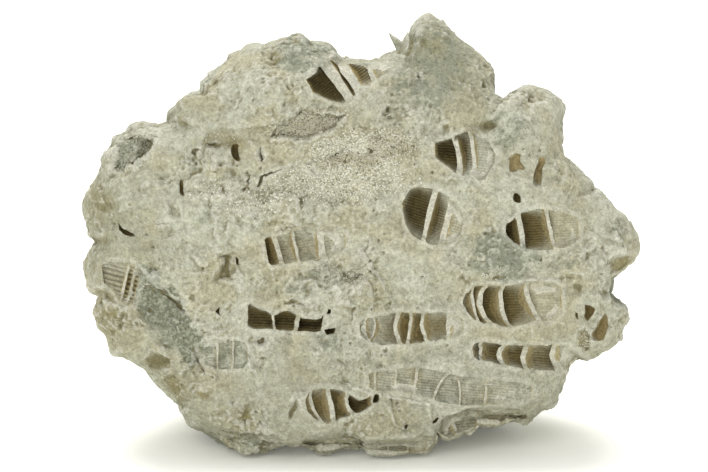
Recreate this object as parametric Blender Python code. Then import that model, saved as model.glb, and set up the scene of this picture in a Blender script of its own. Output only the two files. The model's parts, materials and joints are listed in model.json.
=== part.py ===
"""Fossil fletcheria coral: one lump of limestone full of tube chambers crossed by thin plates.

The lump rests on a flat patch of its underside. +X is to the right and +Y away from the viewer of
its best side. Places on each side are given in picture units (to the right, downward) of a picture
taken from that side, so that a side can be drawn by eye. All lengths below are metres unless a
name says millimetres, and one picture unit is UNIT metres.
"""

import math

import bmesh
import bpy
import numpy as np
from mathutils import Vector
from mathutils.bvhtree import BVHTree

MM = 0.001

# Size of the lump
LUMP_WIDTH = 94.4 * MM
FRONT_DEPTH = 20.0 * MM      # from the middle forward to the front
BACK_DEPTH = 31.0 * MM       # from the middle back
BOXINESS = 0.72              # 1 is an ellipsoid, less is squarer
RING_MIDDLE = -7.0 * MM      # depth of the widest section at mid height
RING_SLOPE = 6.0 * MM        # the widest section leans back by this much at the top

# The picture that the places are read from
VIEW_ELEVATION = math.radians(12.0)
VIEW_DISTANCE = 0.84
CENTRE_U = 365.0
CENTRE_V = 240.0
FLOOR_V = 436.0              # row at which the floor passes under the middle of the lump
OUTLINE_SPAN = 557.0         # units between the leftmost and the rightmost outline point
UNIT = LUMP_WIDTH / OUTLINE_SPAN

# Azimuth and elevation of the viewer of each side, and the point that all of them look at
SIDES = {
    "front": (0.0, VIEW_ELEVATION),
    "right": (math.radians(90), math.radians(8)),
    "back": (math.radians(180), math.radians(10)),
    "left": (math.radians(-90), math.radians(8)),
    "top": (0.0, math.radians(75)),
}
MIDDLE = Vector((0.0, 0.0, (FLOOR_V - CENTRE_V) * UNIT * math.cos(VIEW_ELEVATION)))

# Fineness of the faceted solid
GRID = 19                    # facets along each of the twelve edges of the starting cube
GRID_TURN = math.radians(-1.3)   # turns the grid so that a facet corner falls on the peak
FRONT_CROWDING = 0.28        # share by which facets are moved toward the front
TUBE_SIDES = 8
PIT_SIDES = 7

# Shape of the lump between the drawn outline and the poles
EDGE_FADE = math.radians(27.0)       # polar angle over which the drawn outline gives way to a smooth one
OUTLINE_BLUR = math.radians(13.0)
RELIEF_FADE = (0.08, 0.3)            # cosines of the polar angle between which the front relief sets in
FRONT_FADE = (0.15, 0.5)             # and the short swell of the front
BACK_FADE = (0.1, 0.6)               # and both swells of the back
STEP_SOFTNESS = (-3, 5)              # units across which a step drops
STEP_ENDS = 8                        # units over which a step begins and ends

# Swells: wavelength, number of waves and seed, and heights in millimetres
LONG_SWELL = (21.0 * MM, 9, 3)
SHORT_SWELL = (9.0 * MM, 12, 8)
LONG_HEIGHT = 2.1
SHORT_HEIGHT_FRONT = 0.5
SHORT_HEIGHT_BACK = 0.7
WAVELENGTH_SPREAD = (0.7, 1.4)

# How the tubes and pits find the surface
SIGHT_HALF = 90 * MM                 # half of the length of a line of sight
SIGHT_TRIES = 60                     # places tried on the way to the middle
LEAST_FACING = 0.4                   # cosine between the surface and the line of sight that is wanted
SEAT_SAMPLES = 7                     # places along a tube's axis
SEAT_SHARE = 0.8                     # of the half width, to each side of the axis

# Rings of a pit: share of its width, and level in millimetres above the surface or share of its depth
PIT_MOUTH = ((0.0, -2.0), (1.25, -2.0), (1.0, 0.0))
PIT_FLOOR = ((0.7, 1.0), (0.0, 1.0))

# Outline of the lump, clockwise from the left
OUTLINE = (
    (82, 212), (84, 200), (92, 182), (99, 173), (102, 153), (116, 140), (134, 125), (151, 127), (168, 124),
    (171, 111), (185, 95), (201, 93), (202, 82), (215, 70), (231, 58), (247, 46), (265, 47), (278, 39),
    (299, 32), (309, 40), (325, 41), (335, 55), (343, 61), (371, 62), (387, 56), (400, 52), (410, 42),
    (412, 33), (420, 20), (428, 13), (442, 24), (463, 44), (482, 56), (492, 71), (493, 95), (504, 102),
    (516, 92), (526, 86), (537, 84), (547, 89), (557, 96), (564, 107), (560, 121), (563, 138), (564, 157),
    (581, 173), (592, 181), (594, 192), (601, 193), (617, 210), (627, 216), (636, 237), (639, 253),
    (633, 264), (614, 278), (610, 294), (628, 307), (627, 320), (618, 337), (606, 347), (580, 356),
    (569, 366), (560, 386), (555, 406), (544, 408), (526, 422), (500, 424), (479, 422), (457, 436),
    (437, 440), (431, 447), (427, 455), (411, 454), (369, 455), (360, 447), (324, 450), (286, 441),
    (267, 450), (246, 455), (225, 446), (208, 432), (191, 423), (180, 405), (144, 369), (122, 356),
    (108, 344), (96, 327), (91, 315), (99, 296), (86, 276), (84, 265), (95, 241), (85, 223),
)

# Hollows and swellings of the front: middle u, v, half length, half height, turn in degrees,
# millimetres into the rock (a swelling is negative), and how flat the bottom is (1 round, 3 flat)
FRONT_DENTS = (
    (134, 154, 27, 13, 40, 1.7, 2.0),
    (308, 124, 38, 13, 4, 1.5, 2.0),
    (330, 170, 88, 30, 8, 0.8, 2.0),
    (222, 141, 26, 9, 0, 1.9, 1.0),
    (225, 268, 17, 19, 0, 1.2, 1.0),
    (166, 312, 24, 42, 35, 0.8, 3.0),
    (157, 364, 15, 8, 0, 1.7, 1.0),
    (176, 393, 15, 8, -40, 1.4, 1.0),
    (604, 325, 18, 20, 0, 0.9, 1.0),
    (624, 264, 14, 9, 20, 2.4, 1.0),
    (430, 58, 30, 12, -20, 1.1, 1.0),
    (480, 126, 18, 9, -10, 1.3, 1.0),
    (262, 85, 85, 42, 14, -1.8, 1.0),
    (118, 205, 26, 30, 0, -1.2, 1.0),
    (520, 190, 30, 34, 0, -1.0, 1.0),
    (455, 268, 60, 15, 0, -0.9, 1.0),
    (500, 334, 70, 8, 0, -0.5, 1.0),
    (215, 215, 70, 26, 0, -0.8, 1.0),
)

# Steps across the front: the points of the upper edge, millimetres the rock drops behind it, and the
# reach of the drop below the edge in units
FRONT_STEPS = (
    (((166, 126), (191, 124), (240, 129), (272, 119), (345, 113)), 1.6, 16),
    (((200, 430), (262, 436), (300, 441), (345, 433), (372, 441), (432, 436)), 3.4, 60),
    (((436, 428), (449, 415), (470, 410), (500, 411), (560, 416)), 4.6, 60),
    (((140, 268), (160, 290), (192, 312)), 0.9, 30),
    (((345, 145), (262, 178)), 0.7, 30),
)

# Tubes: side, axis start and end, half of the visible width in units, bore radius in millimetres,
# millimetres of the axis below the surface at the start and the end (above it when negative),
# lean of the plates into the depth, bulge of the plates toward the end in millimetres, and the
# plates as (u at the upper edge, u at the lower edge, thickness), from end to end
TUBES = (
    ("front", (312, 99), (362, 60), 21, 3.7, 1.7, -0.9, -0.3, 0.5,
     ((300, 318, 1), (325, 350, 9), (341, 360, 6), (352, 372, 4), (378, 394, 1))),
    ("front", (434, 149), (500, 158), 21, 3.8, 2.5, -2.2, -0.3, 0.5,
     ((435, 437, 1), (455, 459, 5), (471, 476, 6), (493, 494, 1))),
    ("front", (402, 205), (468, 229), 23, 4.1, 2.7, -2.6, -0.3, 0.4,
     ((409, 398, 1), (438, 421, 5), (453, 439, 5), (473, 460, 1))),
    ("front", (505, 231), (582, 229), 18, 3.5, 2.7, -2.6, -0.3, 0.4,
     ((506, 508, 1), (520, 525, 6), (548, 556, 6), (580, 580, 1))),
    ("front", (464, 306), (566, 300), 19, 3.6, 2.7, -2.6, -0.4, 0.4,
     ((464, 468, 1), (480, 491, 7), (504, 513, 4), (531, 543, 7), (566, 562, 1))),
    ("front", (472, 352), (582, 360), 12, 2.45, 1.7, -1.3, 0.2, -0.8,
     ((475, 474, 1), (483, 483, 3), (502, 502, 6), (526, 527, 7), (556, 558, 7), (582, 580, 1))),
    ("front", (352, 329), (469, 329), 14, 2.55, 0.6, -1.7, 0.2, -0.7,
     ((354, 356, 1), (372, 366, 5), (397, 396, 5), (409, 408, 4), (424, 424, 5), (446, 446, 4),
      (466, 466, 1))),
    ("front", (243, 320), (338, 323), 10, 2.2, 0.9, 0.9, 0.0, 0.3,
     ((246, 246, 1), (272, 272, 3), (298, 295, 4), (334, 334, 1))),
    ("front", (258, 252), (350, 238), 16, 2.9, 1.9, -1.9, -0.3, 0.4,
     ((259, 268, 1), (269, 281, 4), (291, 299, 3), (318, 327, 8), (345, 345, 1))),
    ("front", (210, 270), (244, 271), 17, 3.0, 0.8, -0.6, -0.2, 0.3,
     ((217, 212, 1), (230, 240, 3), (240, 246, 1))),
    ("front", (302, 406), (378, 404), 15, 2.75, -1.0, 1.9, 0.2, 0.3,
     ((296, 308, 1), (311, 322, 4), (328, 333, 5), (347, 353, 4), (374, 370, 1))),
    ("front", (364, 383), (538, 393), 14, 3.9, -2.8, -2.9, 0.0, 0.0,
     ((368, 366, 1), (396, 396, 2), (419, 413, 4), (449, 436, 4), (460, 461, 2), (487, 486, 4),
      (534, 532, 1))),
    ("front", (436, 427), (478, 427), 9, 2.0, 0.3, 0.3, 0.0, 0.0,
     ((447, 436, 1), (456, 457, 3), (476, 470, 1))),
    ("front", (97, 276), (141, 286), 15, 3.4, -2.1, -2.0, 0.0, 0.0,
     ((98, 105, 1), (127, 117, 3), (139, 132, 2))),
    ("front", (193, 354), (250, 356), 13, 3.3, -2.1, -2.3, 0.0, 0.0,
     ((195, 200, 1), (217, 216, 2), (246, 244, 1))),
    ("back", (230, 152), (330, 160), 18, 3.5, 2.4, -2.3, -0.2, 0.4,
     ((232, 236, 1), (262, 266, 5), (290, 296, 5), (326, 330, 1))),
    ("back", (420, 205), (520, 214), 19, 3.7, 2.2, -2.4, -0.2, 0.4,
     ((424, 420, 1), (452, 448, 5), (482, 478, 6), (516, 514, 1))),
    ("back", (210, 285), (318, 276), 17, 3.3, 2.0, -2.2, 0.2, -0.6,
     ((212, 214, 1), (240, 244, 5), (274, 276, 5), (314, 312, 1))),
    ("back", (400, 322), (505, 318), 15, 3.9, -2.6, -2.8, 0.0, 0.0,
     ((404, 402, 1), (438, 432, 4), (468, 466, 3), (502, 500, 1))),
    ("left", (240, 170), (320, 180), 17, 3.3, 2.2, -2.2, 0.0, 0.4,
     ((241, 243, 1), (270, 272, 5), (316, 318, 1))),
    ("right", (385, 268), (475, 262), 18, 3.5, 2.2, -2.3, 0.0, 0.4,
     ((388, 386, 1), (418, 416, 5), (470, 468, 1))),
    ("top", (270, 152), (365, 160), 18, 3.5, 2.2, -2.2, 0.0, 0.4,
     ((272, 276, 1), (302, 306, 5), (360, 364, 1))),
)

# Pits: side, middle u, v, half width, half height, turn in degrees, depth in millimetres
PITS = (
    ("front", 516, 162, 9, 9, 0, 2.6),
    ("front", 541, 168, 6, 16, -18, 2.4),
    ("front", 518, 197, 5, 6, 0, 2.6),
    ("front", 592, 311, 6, 9, 20, 2.8),
    ("front", 603, 328, 8, 15, -12, 3.2),
    ("front", 234, 150, 5, 8, 0, 2.8),
    ("front", 534, 95, 14, 9, 0, 1.4),
    ("front", 123, 229, 9, 5, -40, 2.2),
    ("front", 480, 293, 5, 8, -15, 2.6),
    ("left", 280, 240, 18, 17, 0, 3.4),
    ("left", 335, 285, 16, 18, 0, 3.0),
    ("right", 388, 190, 17, 17, 0, 3.2),
    ("right", 450, 208, 16, 17, 0, 2.8),
    ("back", 352, 118, 14, 10, 20, 2.6),
)

# Flat breaks on the sides, back and top: direction that the break faces (right, up, away) and its
# distance from the middle in millimetres
BREAKS = (
    ((0.15, 0.35, 0.92), 27.0),
    ((-0.55, 0.15, 0.82), 31.5),
    ((0.62, -0.05, 0.78), 33.0),
    ((0.10, -0.45, 0.89), 27.5),
    ((-0.30, 0.78, 0.55), 33.0),
    ((0.45, 0.70, 0.55), 35.0),
    ((-0.80, -0.30, 0.52), 39.0),
    ((0.85, 0.28, 0.45), 42.0),
    ((0.75, -0.52, 0.42), 39.5),
    ((-0.78, 0.42, 0.46), 40.5),
)
BROKEN_SHARE = 0.85          # of what reaches past a break is gone

# The spur that stands beside the peak: middle u, v, half width, half thickness (in units) and
# half thickness away from the viewer in millimetres, from its root to its tip
SPUR = ((408, 60, 9, 1.6), (402, 48, 5.5, 1.1), (396, 40, 3.4, 0.7), (389, 32, 0.5, 0.2))
SPUR_SIDES = 6
SPUR_DEPTH = -1.4 * MM


def remove_everything():
    """Empty the scene."""
    for thing in list(bpy.data.objects):
        bpy.data.objects.remove(thing, do_unlink=True)


def side_basis(side):
    """Right, up and inward directions of the viewer of a side."""
    azimuth, elevation = SIDES[side]
    right = Vector((math.cos(azimuth), math.sin(azimuth), 0.0))
    level = Vector((-math.sin(azimuth), math.cos(azimuth), 0.0))
    inward = level * math.cos(elevation) - Vector((0, 0, math.sin(elevation)))
    up = level * math.sin(elevation) + Vector((0, 0, math.cos(elevation)))
    return right, up, inward


def place(side, u, v, depth):
    """World points of picture places of one side, at a depth behind the middle of the lump."""
    right, up, inward = (np.array(axis) for axis in side_basis(side))
    spread = 1 + depth / VIEW_DISTANCE if side == "front" else 1 + 0 * depth
    across = (u - CENTRE_U) * UNIT * spread
    above = (CENTRE_V - v) * UNIT * spread
    return np.array(MIDDLE) + np.outer(across, right) + np.outer(above, up) + np.outer(depth, inward)


def smooth_step(low, high, value):
    share = np.clip((value - low) / (high - low), 0, 1)
    return share * share * (3 - 2 * share)


def outline_radii():
    """Radius of the outline about its centre at each whole degree, as drawn and smoothed."""
    points = np.array(OUTLINE, float) - (CENTRE_U, CENTRE_V)
    angles = np.arctan2(-points[:, 1], points[:, 0])
    radii = np.hypot(points[:, 0], points[:, 1])
    degrees = np.radians(np.arange(360))
    drawn = np.interp(degrees, angles, radii, period=2 * math.pi)
    waves = np.fft.rfft(drawn)
    waves *= np.exp(-0.5 * (OUTLINE_BLUR * np.arange(len(waves))) ** 2)
    return drawn, np.fft.irfft(waves, 360)


def ring_lookup(values, angles):
    return np.interp(angles, np.radians(np.arange(360)), values, period=2 * math.pi)


def front_relief(u, v):
    """Depth of the hollows and steps of the front, in metres, at picture places."""
    relief = np.zeros_like(u)
    for middle_u, middle_v, length, height, turn, depth, flatness in FRONT_DENTS:
        turn = math.radians(turn)
        along = ((u - middle_u) * math.cos(turn) - (v - middle_v) * math.sin(turn)) / length
        aside = ((u - middle_u) * math.sin(turn) + (v - middle_v) * math.cos(turn)) / height
        relief += depth * MM * np.exp(-(along ** 2 + aside ** 2) ** flatness)
    for edge, drop, reach in FRONT_STEPS:
        edge = np.array(sorted(edge), float)
        below = v - np.interp(u, edge[:, 0], edge[:, 1])
        ends = smooth_step(-STEP_ENDS, STEP_ENDS, u - edge[0, 0])
        ends = ends * smooth_step(-STEP_ENDS, STEP_ENDS, edge[-1, 0] - u)
        drops = smooth_step(*STEP_SOFTNESS, below) * np.exp(-np.clip(below, 0, None) / reach)
        relief += drop * MM * ends * drops
    return relief


def lumps(points, wavelength, count, seed):
    """Smooth swelling and sinking, about -1 to 1: a sum of plane waves in seeded directions."""
    random = np.random.default_rng(seed)
    directions = random.normal(size=(count, 3))
    directions /= np.linalg.norm(directions, axis=1)[:, None]
    lengths = wavelength * random.uniform(*WAVELENGTH_SPREAD, count)
    phases = random.uniform(0, 2 * math.pi, count)
    waves = np.sin(points @ (directions / lengths[:, None]).T * 2 * math.pi + phases)
    return waves.sum(axis=1) / math.sqrt(count)


def break_off(points):
    """Flatten the lump where it reaches past a break."""
    for facing, distance in BREAKS:
        facing = np.array(facing) / np.linalg.norm(facing)
        past = np.clip(points @ facing - distance * MM, 0, None)
        points = points - BROKEN_SHARE * np.outer(past, facing)
    return points


def lump_points(directions):
    """World points of the lump for unit directions given as right, up, away."""
    drawn, smoothed = outline_radii()
    polar = np.arccos(np.clip(-directions[:, 2], -1, 1))
    polar = polar - FRONT_CROWDING * np.sin(polar)
    around = np.arctan2(directions[:, 1], directions[:, 0])
    at_edge = np.exp(-((polar - math.pi / 2) / EDGE_FADE) ** 2)
    radius = at_edge * ring_lookup(drawn, around) + (1 - at_edge) * ring_lookup(smoothed, around)
    radius = radius * np.sin(polar) ** BOXINESS
    facing = np.cos(polar)
    depth = np.where(facing > 0, -FRONT_DEPTH, BACK_DEPTH) * np.abs(facing) ** BOXINESS
    depth += (RING_MIDDLE + RING_SLOPE * np.sin(around)) * np.sin(polar) ** 2
    u = CENTRE_U + radius * np.cos(around)
    v = CENTRE_V - radius * np.sin(around)
    depth += smooth_step(*RELIEF_FADE, facing) * front_relief(u, v)
    local = np.stack(((u - CENTRE_U) * UNIT, (CENTRE_V - v) * UNIT, depth), axis=1)
    outward = np.stack((np.cos(around) * np.sin(polar), np.sin(around) * np.sin(polar), -facing), axis=1)
    behind = smooth_step(*BACK_FADE, -facing)
    in_front = smooth_step(*FRONT_FADE, facing)
    short_height = SHORT_HEIGHT_FRONT * in_front + SHORT_HEIGHT_BACK * behind
    swell = LONG_HEIGHT * behind * lumps(local, *LONG_SWELL) + short_height * lumps(local, *SHORT_SWELL)
    local = break_off(local + outward * swell[:, None] * MM)
    world = place("front", CENTRE_U + local[:, 0] / UNIT, CENTRE_V - local[:, 1] / UNIT, local[:, 2])
    world[:, 2] = np.clip(world[:, 2], 0, None)
    return world


def make_material(name, colour, roughness):
    material = bpy.data.materials.new(name)
    material.use_nodes = True
    shader = material.node_tree.nodes["Principled BSDF"]
    shader.inputs["Base Color"].default_value = (*colour, 1.0)
    shader.inputs["Roughness"].default_value = roughness
    shader.inputs["Metallic"].default_value = 0.0
    return material


def make_lump(stone):
    """The uncut lump: a cube cut into a grid, blown up to a ball and then shaped."""
    body = bmesh.new()
    bmesh.ops.create_cube(body, size=2.0)
    bmesh.ops.subdivide_edges(body, edges=body.edges[:], cuts=GRID - 1, use_grid_fill=True)
    grid = np.array([corner.co[:] for corner in body.verts])
    ball = np.tan(grid * math.pi / 4)
    ball /= np.linalg.norm(ball, axis=1)[:, None]
    ball = ball[:, (0, 2, 1)]
    turned = math.cos(GRID_TURN) * ball[:, 0] - math.sin(GRID_TURN) * ball[:, 1]
    ball[:, 1] = math.sin(GRID_TURN) * ball[:, 0] + math.cos(GRID_TURN) * ball[:, 1]
    ball[:, 0] = turned
    for corner, point in zip(body.verts, lump_points(ball)):
        corner.co = point
    bmesh.ops.triangulate(body, faces=body.faces[:])
    mesh = bpy.data.meshes.new("fossil_coral_block")
    body.to_mesh(mesh)
    body.free()
    lump = bpy.data.objects.new("fossil_coral_block", mesh)
    mesh.materials.append(stone)
    bpy.context.scene.collection.objects.link(lump)
    return lump


def surface_depth(tree, side, u, v):
    """Depth of the surface at a picture place, or at the nearest toward the centre that faces the viewer."""
    for share in np.linspace(0, 1, SIGHT_TRIES):
        near_u = u + (CENTRE_U - u) * share
        near_v = v + (CENTRE_V - v) * share
        ends = place(side, np.full(2, near_u), np.full(2, near_v), np.array((-SIGHT_HALF, SIGHT_HALF)))
        start, sight = Vector(ends[0]), Vector(ends[1] - ends[0])
        hit, normal, _, _ = tree.ray_cast(start, sight.normalized())
        if hit is not None and -normal.dot(sight.normalized()) > LEAST_FACING:
            return SIGHT_HALF * (2 * (hit - start).length / sight.length - 1)
    raise ValueError("no surface under this place")


def tube_room(tree, tube, first, last):
    """Rings of one chamber, from its first cross plate to its last, as picture places and depths."""
    side, start, end, half, radius, burial_start, burial_end, rake, bulge, plates = tube
    start_u, start_v = start
    run_u, run_v = end[0] - start_u, end[1] - start_v
    length = math.hypot(run_u, run_v)
    along_u, along_v = run_u / length, run_v / length
    shares = np.linspace(0, 1, SEAT_SAMPLES)
    edges = []
    for aside in (-SEAT_SHARE * half, SEAT_SHARE * half):
        edges.append([surface_depth(tree, side, start_u + run_u * share + aside * along_v,
                                    start_v + run_v * share - aside * along_u) for share in shares])
    lower, upper = (np.polyfit(shares, edge, 2) for edge in edges)
    burials = np.array((0, burial_end - burial_start, burial_start)) * MM
    slope = np.polyval(upper - lower, 0.5) / (2 * SEAT_SHARE * half * UNIT)
    steepness = math.hypot(1, slope)
    axis_depth = (lower + upper) / 2 + burials / steepness
    axis_above = -burials * slope / steepness / UNIT
    turns = np.arange(TUBE_SIDES) * 2 * math.pi / TUBE_SIDES

    def ring(plate, face, share):
        """One ring at a share of the bore radius, on the face before (-1) or after (1) a plate."""
        upper, lower, thickness = plate
        deeper = share * radius * np.sin(turns) * MM
        upper_run = (upper - start_u - half * along_v) / along_u
        lower_run = (lower - start_u + half * along_v) / along_u
        run = (upper_run + lower_run) / 2
        above = share * radius * np.cos(turns) * MM / UNIT + np.polyval(axis_above, run / length)
        run = run + (upper_run - lower_run) / 2 * above / half
        run = run + face * thickness / 2
        run = run + (rake * deeper + bulge * MM * (1 - share ** 2)) / UNIT
        depth = np.polyval(axis_depth, run / length) + deeper
        return start_u + along_u * run + along_v * above, start_v + along_v * run - along_u * above, depth

    rings = [ring(first, 1, 0.0), ring(first, 1, 1.0), ring(last, -1, 1.0), ring(last, -1, 0.0)]
    return [place(side, *each) for each in rings]


def cutter_from_rings(name, rings):
    """A closed body whose first and last rings are drawn together to one point each."""
    body = bmesh.new()
    first = body.verts.new(rings[0][0])
    last = body.verts.new(rings[-1][0])
    loops = [[body.verts.new(point) for point in ring] for ring in rings[1:-1]]
    count = len(loops[0])
    for place_in_ring in range(count):
        after = (place_in_ring + 1) % count
        body.faces.new((first, loops[0][after], loops[0][place_in_ring]))
        body.faces.new((last, loops[-1][place_in_ring], loops[-1][after]))
        for here, there in zip(loops, loops[1:]):
            body.faces.new((here[place_in_ring], here[after], there[after], there[place_in_ring]))
    bmesh.ops.triangulate(body, faces=body.faces[:])
    bmesh.ops.recalc_face_normals(body, faces=body.faces[:])
    mesh = bpy.data.meshes.new(name)
    body.to_mesh(mesh)
    body.free()
    cutter = bpy.data.objects.new(name, mesh)
    cutter.hide_render = True
    cutter.display_type = "WIRE"
    return cutter


def make_pit(tree, name, pit):
    """A pit: an oval mouth above the surface that narrows to a blunt bottom."""
    side, u, v, half_width, half_height, turn, depth = pit
    turns = np.arange(PIT_SIDES) * 2 * math.pi / PIT_SIDES
    turn = math.radians(turn)
    surface = surface_depth(tree, side, u, v)
    rings = []
    for share, level in (*PIT_MOUTH, *((share, depth * level) for share, level in PIT_FLOOR)):
        along = share * half_width * np.cos(turns)
        aside = share * half_height * np.sin(turns)
        ring_u = u + along * math.cos(turn) + aside * math.sin(turn)
        ring_v = v - along * math.sin(turn) + aside * math.cos(turn)
        rings.append(place(side, ring_u, ring_v, np.full(PIT_SIDES, surface + level * MM)))
    return cutter_from_rings(name, rings)


def centre_over_origin(lump):
    """An empty that carries the lump and its cutters, so that the lump's box is centred over the origin."""
    corners = np.array([corner.co[:] for corner in lump.data.vertices])
    middle = (corners.min(axis=0) + corners.max(axis=0)) / 2
    carrier = bpy.data.objects.new("lump_place", None)
    carrier.location = (-middle[0], -middle[1], 0.0)
    bpy.context.scene.collection.objects.link(carrier)
    lump.parent = carrier


def make_spur():
    """The spur: narrowing rings from inside the rock to the tip, which leans to the left."""
    turns = np.arange(SPUR_SIDES) * 2 * math.pi / SPUR_SIDES
    rings = []
    for u, v, half_width, half_thickness in (SPUR[0], *SPUR, SPUR[-1]):
        share = 0.0 if len(rings) in (0, len(SPUR) + 1) else 1.0
        ring_u = u + share * half_width * np.cos(turns)
        ring_v = v - 0.5 * share * half_width * np.cos(turns)
        depth = SPUR_DEPTH + share * half_thickness * MM * np.sin(turns)
        rings.append(place("front", ring_u, ring_v, depth))
    return cutter_from_rings("spur", rings)


def join_spur(lump):
    """Fuse the spur with the lump."""
    spur = make_spur()
    spur.parent = lump.parent
    bpy.context.scene.collection.objects.link(spur)
    fuse = lump.modifiers.new("spur", "BOOLEAN")
    fuse.operation = "UNION"
    fuse.solver = "EXACT"
    fuse.object = spur


def cut_hollows(lump):
    """Take every tube chamber and pit out of the lump."""
    lump.data.calc_loop_triangles()
    tree = BVHTree.FromPolygons([corner.co for corner in lump.data.vertices],
                                [face.vertices for face in lump.data.polygons])
    hollows = bpy.data.collections.new("hollows")
    bpy.context.scene.collection.children.link(hollows)
    for number, tube in enumerate(TUBES, 1):
        plates = tube[-1]
        for room, (first, last) in enumerate(zip(plates, plates[1:]), 1):
            rings = tube_room(tree, tube, first, last)
            hollows.objects.link(cutter_from_rings(f"tube_{number}_chamber_{room}", rings))
    for number, pit in enumerate(PITS, 1):
        hollows.objects.link(make_pit(tree, f"pit_{number}", pit))
    for hollow in hollows.objects:
        hollow.parent = lump.parent
    cut = lump.modifiers.new("hollows", "BOOLEAN")
    cut.operation = "DIFFERENCE"
    cut.solver = "EXACT"
    cut.operand_type = "COLLECTION"
    cut.collection = hollows


def main():
    remove_everything()
    stone = make_material("fossil_limestone", (0.56, 0.53, 0.45), 0.9)
    lump = make_lump(stone)
    centre_over_origin(lump)
    join_spur(lump)
    cut_hollows(lump)


main()
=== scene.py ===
import itertools
import json
import math

import bpy
import numpy as np
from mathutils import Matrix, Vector

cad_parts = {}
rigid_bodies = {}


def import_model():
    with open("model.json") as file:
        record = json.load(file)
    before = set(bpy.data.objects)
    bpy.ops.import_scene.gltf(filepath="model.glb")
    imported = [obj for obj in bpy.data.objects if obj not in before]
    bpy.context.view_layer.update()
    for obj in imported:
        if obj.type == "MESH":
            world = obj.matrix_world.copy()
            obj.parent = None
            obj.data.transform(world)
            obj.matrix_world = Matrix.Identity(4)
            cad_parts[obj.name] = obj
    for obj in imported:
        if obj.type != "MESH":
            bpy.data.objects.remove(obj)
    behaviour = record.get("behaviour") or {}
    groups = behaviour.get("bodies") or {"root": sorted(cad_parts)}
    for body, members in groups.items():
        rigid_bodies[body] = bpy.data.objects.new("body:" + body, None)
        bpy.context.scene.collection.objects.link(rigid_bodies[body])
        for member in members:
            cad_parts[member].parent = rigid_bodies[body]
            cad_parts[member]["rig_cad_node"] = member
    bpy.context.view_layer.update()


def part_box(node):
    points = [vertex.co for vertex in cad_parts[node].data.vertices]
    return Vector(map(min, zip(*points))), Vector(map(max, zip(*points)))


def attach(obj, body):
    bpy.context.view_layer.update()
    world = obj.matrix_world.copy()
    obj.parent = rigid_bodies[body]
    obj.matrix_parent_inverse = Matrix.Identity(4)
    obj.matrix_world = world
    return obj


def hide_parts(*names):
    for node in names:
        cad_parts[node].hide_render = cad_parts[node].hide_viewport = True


# The lump's places are given in picture units: u to the right and v downward, as seen from one side.
# Lengths are metres unless a name says millimetres. Points are rows of arrays.

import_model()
mm = 0.001

picture = {
    "centreU": 365.0,
    "centreV": 240.0,
    "floorV": 436.0,            # row at which the floor passes under the middle of the lump
    "unit": 94.4 * mm / 557.0,  # the outline is 557 units and 94.4 mm wide
    "distance": 0.84,           # from the camera to the middle of the lump
    "elevation": 12.0,          # of the camera, in degrees
}
unit = picture["unit"]

# azimuth and elevation of the viewer of each side, in degrees
sides = {
    "front": (0, picture["elevation"]), "right": (90, 8), "back": (180, 10),
    "left": (-90, 8), "top": (0, 75),
}


def sideAxes(side):
    # right, up and inward directions of the viewer of a side
    azimuth, elevation = (math.radians(angle) for angle in sides[side])
    right = np.array((math.cos(azimuth), math.sin(azimuth), 0.0))
    level = np.array((-math.sin(azimuth), math.cos(azimuth), 0.0))
    upright = np.array((0.0, 0.0, 1.0))
    inward = level * math.cos(elevation) - upright * math.sin(elevation)
    up = level * math.sin(elevation) + upright * math.cos(elevation)
    return right, up, inward


steepness = math.radians(picture["elevation"])
middle = np.array((0.0, 0.0, (picture["floorV"] - picture["centreV"]) * unit * math.cos(steepness)))


def spreadAt(side, depth):
    # how far apart the lines of sight are at a depth: 1 + depth / distance in front, and even elsewhere
    return 1 + depth / picture["distance"] if side == "front" else 1 + 0 * depth


def placed(side, u, v, depth):
    # middle + across * right + above * up + depth * inward, where across and above grow with the spread, so
    # that a place stays on its line of sight
    right, up, inward = sideAxes(side)
    spread = spreadAt(side, depth)
    across = (u - picture["centreU"]) * unit * spread
    above = (picture["centreV"] - v) * unit * spread
    return middle + across[..., None] * right + above[..., None] * up + depth[..., None] * inward


def seenFrom(side, points):
    # the inverse of placed: u, v and depth of points
    right, up, inward = sideAxes(side)
    local = points - middle
    depth = local @ inward
    spread = spreadAt(side, depth)
    u = picture["centreU"] + local @ right / unit / spread
    v = picture["centreV"] - local @ up / unit / spread
    return u, v, depth


def smoothStep(low, high, value):
    # 3 s^2 - 2 s^3 of the share of the way from low to high
    share = np.clip((value - low) / (high - low), 0, 1)
    return share * share * (3 - 2 * share)


def lumps(points, wavelength, count, seed):
    # sum of plane waves in seeded directions, about -1 to 1
    random = np.random.default_rng(seed)
    directions = random.normal(size=(count, 3))
    directions /= np.linalg.norm(directions, axis=1)[:, None]
    lengths = wavelength * random.uniform(0.7, 1.4, count)
    phases = random.uniform(0, 2 * math.pi, count)
    waves = np.sin(points @ (directions / lengths[:, None]).T * 2 * math.pi + phases)
    return waves.sum(axis=1) / math.sqrt(count)


def hashed(cells, seed):
    # a number from 0 to 1 for each whole-number place: its coordinates times large primes, mixed by shifts
    mixed = cells[:, 0] * 73856093 ^ cells[:, 1] * 19349663 ^ cells[:, 2] * 83492791 ^ (seed * 9973 + 17)
    mixed = (mixed ^ (mixed >> 15)) * 668265261 & 0xFFFFFFFF
    mixed = (mixed ^ (mixed >> 13)) * 374761393 & 0xFFFFFFFF
    return (mixed ^ (mixed >> 16)) / 0xFFFFFFFF


def smoothNoise(points, size, seed):
    # value noise, -1 to 1: hashed values at the corners of cubes of this size, blended by smooth steps
    scaled = points / size
    cell = np.floor(scaled).astype(np.int64)
    part = scaled - cell
    part = part * part * (3 - 2 * part)
    total = np.zeros(len(points))
    for corner in itertools.product((0, 1), repeat=3):
        weight = np.prod(np.where(corner, part, 1 - part), axis=1)
        total += weight * hashed(cell + corner, seed)
    return total * 2 - 1


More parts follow.
